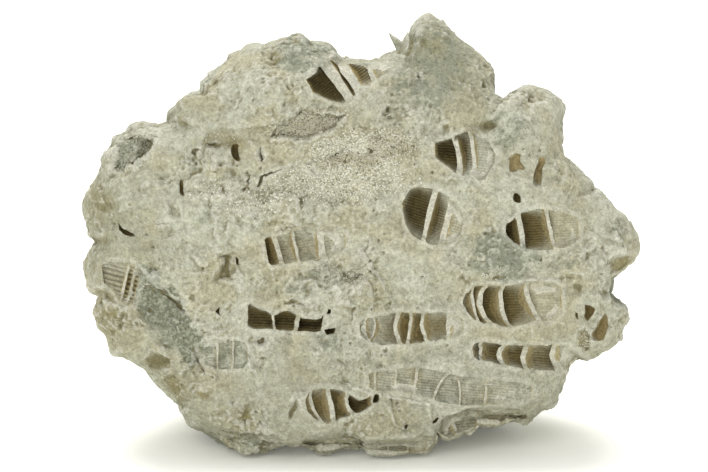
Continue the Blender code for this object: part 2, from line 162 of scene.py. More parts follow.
def noiseVectors(points, size, seed):
    # smooth noise of its own for each axis
    return np.stack([smoothNoise(points, size, seed + k) for k in range(3)], axis=1)


def fractalNoise(points, size, octaves, seed):
    # noise of halving size and height, about -1 to 1
    total = sum(smoothNoise(points, size / 2 ** k, seed + k) / 2 ** k for k in range(octaves))
    return total / 1.4


def nearestCells(points, size, seed):
    # cellular noise: distance to the nearest seeded point, in cells, and a number from 0 to 1 that belongs
    # to that point
    scaled = points / size
    cell = np.floor(scaled).astype(np.int64)
    nearest = np.full(len(points), 9.0)
    mark = np.zeros(len(points))
    for corner in itertools.product((-1, 0, 1), repeat=3):
        near = cell + corner
        spot = near + np.stack([hashed(near, seed + k) for k in range(3)], axis=1)
        gap = np.linalg.norm(scaled - spot, axis=1)
        closer = gap < nearest
        mark = np.where(closer, hashed(near, seed + 3), mark)
        nearest = np.where(closer, gap, nearest)
    return nearest, mark


def facets(points, size, seed, step, tilt):
    # broken faces: every seeded cell is a plane with its own height, step * (mark - 0.5), and slope; the
    # planes are blended with the weights exp(-24 gap^2), so that their edges are a little rounded
    scaled = points / size
    cell = np.floor(scaled).astype(np.int64)
    total = np.zeros(len(points))
    weights = np.zeros(len(points))
    for corner in itertools.product((-1, 0, 1), repeat=3):
        near = cell + corner
        away = scaled - near - np.stack([hashed(near, seed + k) for k in range(3)], axis=1)
        weight = np.exp(-24 * np.einsum("ij,ij->i", away, away))
        slope = np.stack([hashed(near, seed + 5 + k) - 0.5 for k in range(3)], axis=1)
        plane = step * (hashed(near, seed + 9) - 0.5) + tilt * np.einsum("ij,ij->i", slope, away)
        total += weight * plane
        weights += weight
    return total / weights


def makeMesh(name, points, quads, triangles=(), corners=None):
    # a mesh object from whole arrays; corners holds values per point, kept at the face corners
    quads = np.asarray(quads, np.int32).reshape(-1, 4)
    triangles = np.asarray(triangles, np.int32).reshape(-1, 3)
    mesh = bpy.data.meshes.new(name)
    mesh.vertices.add(len(points))
    mesh.vertices.foreach_set("co", np.asarray(points, np.float32).ravel())
    around = np.concatenate((quads.ravel(), triangles.ravel()))
    sizes = np.concatenate((np.full(len(quads), 4), np.full(len(triangles), 3)))
    mesh.loops.add(len(around))
    mesh.loops.foreach_set("vertex_index", around)
    mesh.polygons.add(len(sizes))
    mesh.polygons.foreach_set("loop_start", (np.cumsum(sizes) - sizes).astype(np.int32))
    mesh.update(calc_edges=True)
    for key, values in (corners or {}).items():
        kept = mesh.attributes.new(key, "FLOAT_VECTOR", "CORNER")
        kept.data.foreach_set("vector", np.asarray(values, np.float32)[around].ravel())
    made = bpy.data.objects.new(name, mesh)
    bpy.context.scene.collection.objects.link(made)
    return made


def rowsOf(items, key):
    # the three numbers of each item as a row
    rows = np.empty(len(items) * 3, np.float32)
    items.foreach_get(key, rows)
    return rows.reshape(-1, 3).astype(float)


def combined(name, base, tools, operation):
    # a new object: base joined with, cut by or kept inside the tools, one after another
    made = base.copy()
    bpy.context.scene.collection.objects.link(made)
    for tool in tools:
        step = made.modifiers.new(tool.name, "BOOLEAN")
        step.operation = operation
        step.solver = "MANIFOLD"
        step.object = tool
    graph = bpy.context.evaluated_depsgraph_get()
    cut = made.evaluated_get(graph)
    mesh = bpy.data.meshes.new_from_object(cut, preserve_all_data_layers=True, depsgraph=graph)
    bpy.data.objects.remove(made)
    mesh.name = name
    result = bpy.data.objects.new(name, mesh)
    bpy.context.scene.collection.objects.link(result)
    return result


lump = {
    "facesAlongEdge": 190,   # of the starting cube
    "frontShare": 1.9,       # how much finer the front is than the back
    "frontDepth": 20.0,      # mm from the middle forward
    "backDepth": 31.0,       # mm from the middle back
    "boxiness": 0.72,        # 1 is an ellipsoid, less is squarer
    "meanRadius": 40.0,      # mm, for the even spread of the faces alone
    "ringMiddle": -7.0,      # mm, depth of the widest section at mid height
    "ringSlope": 6.0,        # mm by which it leans back at the top
    "edgeFade": 27.0,        # degrees over which the drawn outline fades out
    "outlineBlur": 13.0,     # degrees
    "broadSwell": (21.0, 2.1),       # mm across and mm out, behind alone
    "smallSwell": (9.0, 0.5, 0.7),   # mm across and mm out, in front and behind
    "outline": (
        (82, 212), (84, 200), (92, 182), (98, 175), (99, 170), (102, 153), (110, 147), (116, 140),
        (126, 133), (134, 125), (138, 126), (143, 124), (151, 127), (160, 128), (168, 124), (169, 117),
        (171, 111), (177, 102), (185, 95), (192, 92), (201, 93), (202, 82), (209, 79), (215, 70), (222, 64),
        (231, 58), (247, 46), (265, 47), (278, 39), (288, 37), (299, 32), (309, 40), (325, 41), (332, 46),
        (335, 55), (343, 61), (360, 62), (371, 62), (381, 60), (387, 56), (400, 52), (410, 42), (412, 33),
        (418, 27), (420, 20), (424, 15), (428, 13), (432, 16), (442, 24), (453, 36), (463, 44), (472, 49),
        (482, 56), (488, 62), (492, 71), (494, 85), (493, 95), (504, 102), (509, 100), (516, 92), (526, 86),
        (537, 84), (547, 89), (557, 96), (564, 107), (562, 114), (560, 121), (560, 130), (563, 138),
        (561, 145), (564, 157), (572, 163), (581, 173), (592, 181), (594, 192), (601, 193), (608, 200),
        (617, 210), (627, 216), (633, 227), (636, 237), (639, 253), (633, 264), (623, 271), (614, 278),
        (613, 287), (610, 294), (620, 301), (628, 307), (627, 320), (618, 337), (606, 347), (588, 357),
        (580, 355), (569, 366), (565, 380), (560, 386), (555, 406), (544, 408), (526, 422), (513, 421),
        (500, 424), (479, 422), (470, 430), (457, 436), (447, 440), (437, 440), (436, 431), (431, 447),
        (427, 455), (411, 454), (382, 455), (369, 455), (360, 447), (343, 447), (324, 450), (303, 446),
        (286, 441), (267, 450), (246, 455), (225, 446), (213, 436), (208, 432), (191, 423), (180, 405),
        (163, 390), (144, 369), (127, 358), (122, 356), (112, 353), (108, 344), (104, 334), (96, 327),
        (91, 315), (93, 307), (99, 296), (95, 291), (91, 289), (86, 276), (84, 265), (87, 255), (95, 241),
        (88, 234), (85, 223),
    ),
    # flat breaks: the share of the rock past each that is gone, and for each the direction that it faces
    # (right, up, away) and mm from the middle
    "breakShare": 0.85,
    "breaks": (
        ((0.15, 0.35, 0.92), 27),
        ((-0.55, 0.15, 0.82), 31.5),
        ((0.62, -0.05, 0.78), 33),
        ((0.10, -0.45, 0.89), 27.5),
        ((-0.30, 0.78, 0.55), 33),
        ((0.45, 0.70, 0.55), 35),
        ((-0.80, -0.30, 0.52), 39),
        ((0.85, 0.28, 0.45), 42),
        ((0.75, -0.52, 0.42), 39.5),
        ((-0.78, 0.42, 0.46), 40.5),
    ),
    # hollows and swellings of the front: middle u, v, half length, half height, mm into the rock, and where
    # they aren't 0 and 1, turn in degrees and flatness of the bottom
    "dents": (
        (134, 154, 27, 13, 0.6, 40, 2), (308, 124, 38, 13, 0.4, 4, 2), (330, 170, 88, 30, 0.8, 8, 2),
        (222, 141, 26, 9, 0.8), (225, 268, 17, 19, 0.5), (166, 312, 24, 42, 0.5, 35, 3),
        (157, 364, 15, 8, 0.6), (176, 393, 15, 8, 0.5, -40), (604, 325, 18, 20, 0.9),
        (624, 264, 14, 9, 1, 20), (430, 58, 30, 12, 1.1, -20), (480, 126, 18, 9, 1.3, -10),
        (262, 85, 85, 42, -1.8, 14), (118, 205, 26, 30, -1.2), (520, 190, 30, 34, -1),
        (455, 268, 60, 15, -0.9), (500, 334, 70, 8, -0.5), (215, 215, 70, 26, -0.8),
    ),
    # small hollows, the same way
    "pocks": (
        (260, 155, 2, 6, 1.7, 0, 2), (457, 136, 2, 1.5, 1, 30), (418, 77, 3, 1.5, 0.9, -30),
        (380, 93, 2.5, 1.2, 0.8, -25), (293, 408, 3, 13, 0.8, -20, 2), (204, 395, 3, 4, 0.8),
        (262, 343, 4, 4, 0.8, 0, 2), (294, 93, 4, 6, 0.4, 10), (212, 145, 6, 1.6, 1.2),
        (225, 196, 2, 8, 0.7), (245, 418, 5, 9, 0.7, -15, 2), (423, 277, 1.6, 1.6, 0.8),
        (361, 278, 1.6, 2, 0.8), (488, 124, 9, 3, 0.8), (283, 228, 1.8, 1.4, 1), (304, 237, 8, 1.6, 1.1, 8),
        (309, 235, 2.4, 2, 1.2), (301, 248, 1.2, 8, 0.9, 0, 2), (271, 54, 2, 7, 0.8, -10),
        (297, 80, 3, 1.5, 0.6), (231, 404, 1.6, 1.6, 0.7), (148, 311, 2, 1.6, 0.7), (372, 309, 1.2, 1, 0.6),
        (357, 277, 4, 4, 0.4, 0, 2), (172, 212, 6, 8, 0.8, 30, 2), (160, 224, 7, 3, 0.7, -10, 2),
        (100, 187, 3, 1.5, 0.8, -40), (104, 200, 2, 9, 0.5, 25, 2), (155, 137, 6, 1.4, 0.7, -20),
        (222, 190, 1.5, 6, 0.8), (194, 191, 10, 5, 0.7, 0, 2), (218, 163, 5, 4, 0.8, 0, 2),
        (205, 163, 2, 3, 0.7), (184, 165, 6, 4, 0.5, 0, 2), (248, 156, 5, 6, 0.3, 0, 3),
        (195, 151, 6, 2, 0.8), (344, 162, 5, 3, 0.6), (371, 150, 3, 2, 0.8), (392, 146, 3, 2, 0.8),
        (383, 158, 4, 2, 0.7), (402, 152, 3, 2, 0.6), (355, 140, 5, 2, 0.6), (378, 137, 6, 2.5, 0.8, -10),
        (415, 163, 3, 2, 0.6), (306, 295, 4, 4, 0.5, 0, 2), (108, 314, 8, 5, 0.7),
        (127, 322, 4, 7, 0.5, -20), (165, 347, 4, 2, 0.6), (196, 362, 4, 9, 0.8, -20),
        (268, 116, 3, 2, 0.3), (484, 138, 3, 3, 0.3), (425, 40, 4, 6, 0.5), (440, 30, 3, 6, 0.4),
        (462, 62, 5, 8, 0.5, 30), (487, 84, 3, 8, 0.6), (560, 174, 6, 9, 0.5, 0, 3),
        (562, 140, 1.5, 1.5, 0.6), (500, 278, 10, 3, 0.6, 10), (486, 262, 6, 3, 0.4),
        (350, 250, 8, 10, 0.3), (455, 300, 14, 9, 0.3), (292, 292, 20, 9, -0.4, 10),
        (272, 205, 20, 10, -0.4), (580, 290, 2, 5, 0.7), (452, 352, 6, 5, 0.5), (385, 351, 3, 2, 0.7),
        (361, 443, 3, 1.5, 0.8), (330, 436, 18, 2.5, 0.8), (535, 372, 2, 1.5, 0.6),
    ),
    # drawn hollows: outline, mm into the rock, softness of the edge, and how grey, stained and crystalline;
    # the stain of the recesses under ledges and in grooves is painted shadow
    "hollows": (
        (((272, 137), (274, 124), (285, 118), (300, 110), (307, 108), (314, 113), (327, 115), (346, 114),
          (339, 122), (331, 130), (318, 133), (304, 138), (290, 136)), 1.5, 2, 0, 0.55, 1),
        (((113, 157), (116, 146), (124, 138), (136, 135), (150, 138), (152, 145), (148, 154), (141, 160),
          (132, 165), (126, 170), (121, 175), (114, 170), (111, 163)), 1.5, 3.5, 1, 0.1, 0.8),
        (((139, 142), (149, 139), (150, 147), (145, 156), (137, 161), (130, 164), (136, 154)), 1.7, 3, 1,
         0.3, 0.3),
        (((199, 141), (205, 133), (220, 129), (232, 131), (236, 139), (229, 147), (215, 148), (203, 147)),
         0.8, 4, 0, 0.55, 0.2),
        (((214, 252), (229, 251), (231, 262), (232, 281), (213, 281), (217, 270), (220, 262)), 1.3, 5, 0,
         0.6, 0),
        (((222, 254), (229, 253), (230, 270), (226, 276), (221, 271)), 0.6, 3, 0, 0.95, 0),
        (((581, 332), (587, 329), (592, 338), (591, 350), (584, 352), (581, 344)), 1.2, 2.5, 0, 0.5, 0.5),
        (((146, 360), (154, 356), (168, 359), (167, 366), (156, 369), (148, 367)), 1.3, 5, 0, 0.9, 0),
        (((165, 381), (173, 380), (184, 391), (188, 402), (180, 403), (170, 394)), 1.3, 5, 0, 0.8, 0),
        (((611, 263), (617, 256), (630, 255), (635, 262), (626, 270), (614, 272)), 1.8, 3, 0, 0.8, 0),
        (((520, 96), (526, 88), (536, 86), (546, 90), (548, 98), (540, 104), (527, 104)), 0.8, 2.5, 0, 0.35,
         0),
        (((133, 270), (140, 272), (158, 289), (186, 307), (188, 320), (197, 344), (203, 372), (190, 362),
          (176, 352), (160, 348), (150, 335), (133, 306), (128, 294)), 0.6, 4, 0.6, 0, 0),
        (((274, 233), (280, 226), (292, 221), (310, 220), (317, 225), (315, 232), (300, 230), (288, 234)),
         0.6, 2.5, 0, 0.5, 0),
        (((170, 124), (174, 120), (186, 119), (191, 124), (180, 126)), 1, 2, 0.1, 0.6, 0),
        (((338, 274), (350, 268), (364, 271), (370, 280), (362, 289), (346, 288), (339, 282)), 0.5, 3, 0.5,
         0.2, 0.6),
        (((262, 266), (270, 272), (280, 281), (270, 284), (260, 279)), 0.4, 4, 0, 0.4, 0),
        (((84, 190), (100, 186), (106, 196), (108, 208), (96, 212), (86, 206)), 0.4, 6, 0, 0.35, 0),
        (((300, 303), (316, 301), (326, 306), (322, 314), (306, 316)), 0.3, 3, 0.4, 0.2, 0),
        (((302, 440), (330, 438), (348, 433), (364, 440), (362, 446), (320, 449), (296, 446)), 1, 2, 0.4,
         0.4, 0),
    ),
    # steps: points of the upper edge, mm the rock drops behind it, reach of the drop below in units; the
    # small ones are only in the fine model
    "steps": (
        (((166, 126), (191, 124), (240, 129), (272, 121), (345, 115)), 1, 16),
        (((200, 430), (262, 436), (300, 441), (345, 433), (372, 441), (432, 436)), 3.4, 60),
        (((436, 428), (449, 415), (470, 410), (500, 411), (560, 416)), 4.6, 60),
        (((140, 268), (160, 290), (192, 312)), 0.9, 30),
        (((345, 145), (262, 178)), 0.7, 30),
    ),
    "smallSteps": (
        (((166, 127), (178, 126), (192, 124)), 0.9, 9),
        (((96, 190), (140, 176), (190, 170), (236, 166)), 0.6, 14),
        (((180, 171), (212, 169), (232, 168), (262, 171)), 0.6, 8),
        (((196, 300), (246, 302), (330, 309)), 0.4, 9),
        (((236, 372), (300, 380), (352, 377)), 0.4, 12),
        (((340, 292), (398, 300), (452, 296)), 0.4, 10),
        (((120, 318), (150, 345), (180, 372)), 0.5, 14),
        (((262, 222), (292, 219), (322, 222), (352, 224)), 0.5, 7),
        (((376, 392), (400, 396), (440, 404), (468, 411)), 0.9, 7),
        (((300, 424), (330, 430), (346, 426), (372, 432)), 0.6, 9),
        (((186, 200), (214, 198), (250, 202), (278, 210)), 0.5, 7),
        (((160, 230), (200, 224), (232, 217), (262, 216)), 0.4, 9),
    ),
    # cracks (mm deep) and crests (negative): half width in units, mm, points
    "lines": (
        (1.3, 0.9, ((258, 186), (261, 177), (270, 172), (284, 169), (297, 165))),
        (1.6, 0.9, ((308, 163), (312, 171), (320, 174))),
        (1.3, 0.4, ((312, 160), (330, 157), (346, 149))),
        (1.3, 0.5, ((140, 271), (158, 290), (189, 316))),
        (1.5, -0.5, ((381, 116), (394, 111), (407, 105))),
        (1.3, -0.5, ((389, 119), (408, 113), (425, 106))),
        (1.4, -0.45, ((150, 274), (158, 290))),
        (1.4, -0.45, ((182, 301), (189, 316))),
        (1.8, -0.5, ((229, 252), (235, 266), (240, 290))),
        (1.3, -0.35, ((511, 283), (530, 280), (562, 281))),
        (1.3, 0.6, ((246, 171), (249, 176), (247, 180))),
        (1.2, 0.6, ((243, 189), (246, 186), (248, 182))),
        (1.3, 0.7, ((240, 211), (246, 213), (254, 211))),
        (1.3, 0.8, ((258, 424), (261, 426), (260, 431))),
        (2, -0.5, ((262, 431), (283, 439), (300, 440), (330, 441), (345, 432), (360, 435), (370, 443))),
        (1.3, -0.4, ((245, 356), (250, 366), (255, 377))),
        (1.5, 0.5, ((192, 348), (196, 362), (202, 374))),
        (1.6, -0.4, ((271, 139), (290, 139), (306, 140), (332, 132), (346, 118))),
        (1.3, -0.4, ((360, 250), (372, 268), (384, 282), (385, 292))),
        (1.2, -0.35, ((336, 290), (340, 302), (356, 309))),
        (1.5, 0.5, ((286, 302), (300, 303), (316, 304))),
        (1.4, -0.35, ((340, 379), (352, 388), (372, 396), (400, 399), (430, 406))),
    ),
    "lineRaggedness": 1.8,   # units by which drawn cracks and edges wander
}


def outlineRadii():
    # radius of the outline about its centre at each half degree, as drawn and blurred
    points = np.array(lump["outline"], float) - (picture["centreU"], picture["centreV"])
    angles = np.arctan2(-points[:, 1], points[:, 0])
    spaced = np.radians(np.arange(0, 360, 0.5))
    drawn = np.interp(spaced, angles, np.hypot(points[:, 0], points[:, 1]), period=2 * math.pi)
    waves = np.fft.rfft(drawn)
    waves *= np.exp(-0.5 * (math.radians(lump["outlineBlur"]) * np.arange(len(waves))) ** 2)
    return spaced, drawn, np.fft.irfft(waves, len(drawn))


outlineAngles, outlineDrawn, outlineSmooth = outlineRadii()


def outlineAt(angle, radii):
    # radius of the drawn or the blurred outline at an angle
    return np.interp(angle, outlineAngles, radii, period=2 * math.pi)


def ovalGap(offU, offV, length, height, turn):
    # along^2 + aside^2 of a place in a turned oval, 1 on its rim
    turn = math.radians(turn)
    along = (offU * math.cos(turn) - offV * math.sin(turn)) / length
    aside = (offU * math.sin(turn) + offV * math.cos(turn)) / height
    return along ** 2 + aside ** 2


def dentDepth(u, v, dents):
    # sum of depth * exp(-gap^flatness), in metres
    total = np.zeros_like(u)
    for middleU, middleV, length, height, depth, *rest in dents:
        turn, flatness = (*rest, *(0, 1)[len(rest):])
        gap = ovalGap(u - middleU, v - middleV, length, height, turn)
        total += depth * mm * np.exp(-np.clip(gap, 0, 9) ** flatness)
    return total


def stepDepth(u, v, steps):
    # each step drops below its edge line and comes back with the distance below it
    total = np.zeros_like(u)
    for edge, drop, reach in steps:
        edge = np.array(sorted(edge), float)
        below = v - np.interp(u, edge[:, 0], edge[:, 1])
        ends = smoothStep(-8, 8, u - edge[0, 0]) * smoothStep(-8, 8, edge[-1, 0] - u)
        total += drop * mm * ends * smoothStep(-3, 5, below) * np.exp(-np.clip(below, 0, None) / reach)
    return total


def lineGap(u, v, points):
    # distance from each place to the nearest point of a drawn line
    gap = np.full_like(u, 1e3)
    for (startU, startV), (endU, endV) in zip(points, points[1:]):
        runU, runV = endU - startU, endV - startV
        share = np.clip(((u - startU) * runU + (v - startV) * runV) / (runU ** 2 + runV ** 2), 0, 1)
        gap = np.minimum(gap, np.hypot(u - startU - share * runU, v - startV - share * runV))
    return gap


def lineDepth(u, v, lines):
    # sum of depth * exp(-(gap / half width)^2)
    return sum(depth * mm * np.exp(-(lineGap(u, v, points) / width) ** 2) for width, depth, points in lines)


def insideShape(u, v, corners, softness):
    # smooth step of the signed distance inside a drawn closed line; a place is inside if a ray from it to
    # the right crosses the line an odd number of times
    ring = np.array((*corners, corners[0]), float)
    low, high = ring.min(axis=0) - softness, ring.max(axis=0) + softness
    near = (u > low[0]) & (u < high[0]) & (v > low[1]) & (v < high[1])
    nearU, nearV = u[near], v[near]
    crossings = np.zeros(len(nearU), bool)
    for (startU, startV), (endU, endV) in zip(ring, ring[1:]):
        spans = (startV > nearV) != (endV > nearV)
        rise = endV - startV if endV != startV else 1.0
        crossings ^= spans & (nearU < startU + (nearV - startV) / rise * (endU - startU))
    gap = lineGap(nearU, nearV, ring)
    share = np.zeros_like(u)
    share[near] = smoothStep(-softness, softness, np.where(crossings, gap, -gap))
    return share


def wandered(u, v, points, amount):
    # picture places shifted by two sizes of noise, for ragged edges
    def shift(seed):
        return smoothNoise(points, 1.5 * mm, seed) + 0.6 * smoothNoise(points, 0.6 * mm, seed + 1)

    return u + amount * shift(161), v + amount * shift(171)


def breakOff(points):
    # take away the broken share of what reaches past each flat break
    for facing, distance in lump["breaks"]:
        facing = np.array(facing) / np.linalg.norm(facing)
        past = np.clip(points @ facing - distance * mm, 0, None)
        points = points - lump["breakShare"] * np.outer(past, facing)
    return points


def lumpPoints(polar, around, detail):
    # the uncut lump: radius = outline * sin(polar)^boxiness, depth = half depth * cos(polar)^boxiness, with
    # the lean of the ring, the relief of the front and the swelling along the outward direction
    atEdge = np.exp(-((polar - math.pi / 2) / math.radians(lump["edgeFade"])) ** 2)
    radius = atEdge * outlineAt(around, outlineDrawn) + (1 - atEdge) * outlineAt(around, outlineSmooth)
    radius = radius * np.sin(polar) ** lump["boxiness"]
    facing = np.cos(polar)
    depth = np.where(facing > 0, -lump["frontDepth"], lump["backDepth"])
    depth = depth * np.abs(facing) ** lump["boxiness"]
    depth = (depth + (lump["ringMiddle"] + lump["ringSlope"] * np.sin(around)) * np.sin(polar) ** 2) * mm
    u = picture["centreU"] + radius * np.cos(around)
    v = picture["centreV"] - radius * np.sin(around)
    relief = dentDepth(u, v, lump["dents"]) + stepDepth(u, v, lump["steps"])
    depth += smoothStep(0.08, 0.3, facing) * relief
    across, above = (u - picture["centreU"]) * unit, (picture["centreV"] - v) * unit
    local = np.stack((across, above, depth), axis=1)
    outward = np.stack((np.cos(around) * np.sin(polar), np.sin(around) * np.sin(polar), -facing), axis=1)
    behind = smoothStep(0.1, 0.6, -facing)
    inFront = smoothStep(0.15, 0.5, facing)
    broadSize, broadOut = lump["broadSwell"]
    smallSize, outInFront, outBehind = lump["smallSwell"]
    swell = broadOut * behind * lumps(local, broadSize * mm, 9, 3)
    swell += (outInFront * inFront + outBehind * behind) * lumps(local, smallSize * mm, 12, 8)
    local = breakOff(local + outward * swell[:, None] * mm)
    u, v = picture["centreU"] + local[:, 0] / unit, picture["centreV"] - local[:, 1] / unit
    depth = local[:, 2]
    if detail:
        wanderedPlace = wandered(u, v, local, lump["lineRaggedness"])
        fine = dentDepth(*wanderedPlace, lump["pocks"]) + stepDepth(*wanderedPlace, lump["smallSteps"])
        fine = fine + lineDepth(*wanderedPlace, lump["lines"])
        for corners, sunk, softness, *_ in lump["hollows"]:
            fine += sunk * mm * insideShape(*wanderedPlace, corners, softness)
        depth = depth + smoothStep(0.05, 0.25, facing) * fine
    # the viewer of the front sees nothing past the drawn outline
    offU, offV = u - picture["centreU"], picture["centreV"] - v
    limit = outlineAt(np.arctan2(offV, offU), outlineDrawn)
    kept = np.minimum(1, limit / np.maximum(np.hypot(offU, offV), 1))
    u, v = picture["centreU"] + offU * kept, picture["centreV"] - offV * kept
    world = placed("front", u, v, depth)
    world[:, 2] = np.clip(world[:, 2], 0, None)
    return world


def ballGrid(count):
    # quads of a ball made from a cube of count by count faces a side, with shared edges
    steps = np.tan(np.linspace(-1, 1, count + 1) * math.pi / 4)
    a, b = np.meshgrid(steps, steps, indexing="ij")
    one = np.ones_like(a)
    patches = [(a, b, one), (b, a, -one), (one, a, b), (-one, b, a), (b, one, a), (a, -one, b)]
    points = np.concatenate([np.stack(patch, axis=-1).reshape(-1, 3) for patch in patches])
    index = np.arange((count + 1) ** 2).reshape(count + 1, count + 1)
    quads = np.stack((index[:-1, :-1], index[1:, :-1], index[1:, 1:], index[:-1, 1:]), axis=-1)
    quads = quads.reshape(-1, 4)
    quads = np.concatenate([quads + k * (count + 1) ** 2 for k in range(6)])
    keys = np.round(points * 1e6).astype(np.int64)
    _, first, same = np.unique(keys, axis=0, return_index=True, return_inverse=True)
    points = points[first]
    return points / np.linalg.norm(points, axis=1)[:, None], same.ravel()[quads]


def ballAngles(ball):
    # polar angle from the viewer and angle around, with the faces spread evenly over the lump's area and
    # frontShare times as many in front
    polar = np.linspace(0, math.pi, 2001)
    radius = lump["meanRadius"] * np.sin(polar) ** lump["boxiness"]
    depth = np.where(polar < math.pi / 2, -lump["frontDepth"], lump["backDepth"])
    depth = depth * np.abs(np.cos(polar)) ** lump["boxiness"]
    length = np.hypot(np.diff(radius), np.diff(depth))
    weight = np.where(polar[1:] < math.pi / 2, lump["frontShare"], 1.0)
    area = np.concatenate(([0], np.cumsum(length * weight * (radius[1:] + radius[:-1]))))
    wanted = (1 + ball[:, 1]) / 2
    around = np.arctan2(ball[:, 2], ball[:, 0])
    return np.interp(wanted, area / area[-1], polar), around


print("stage: helpers ready")

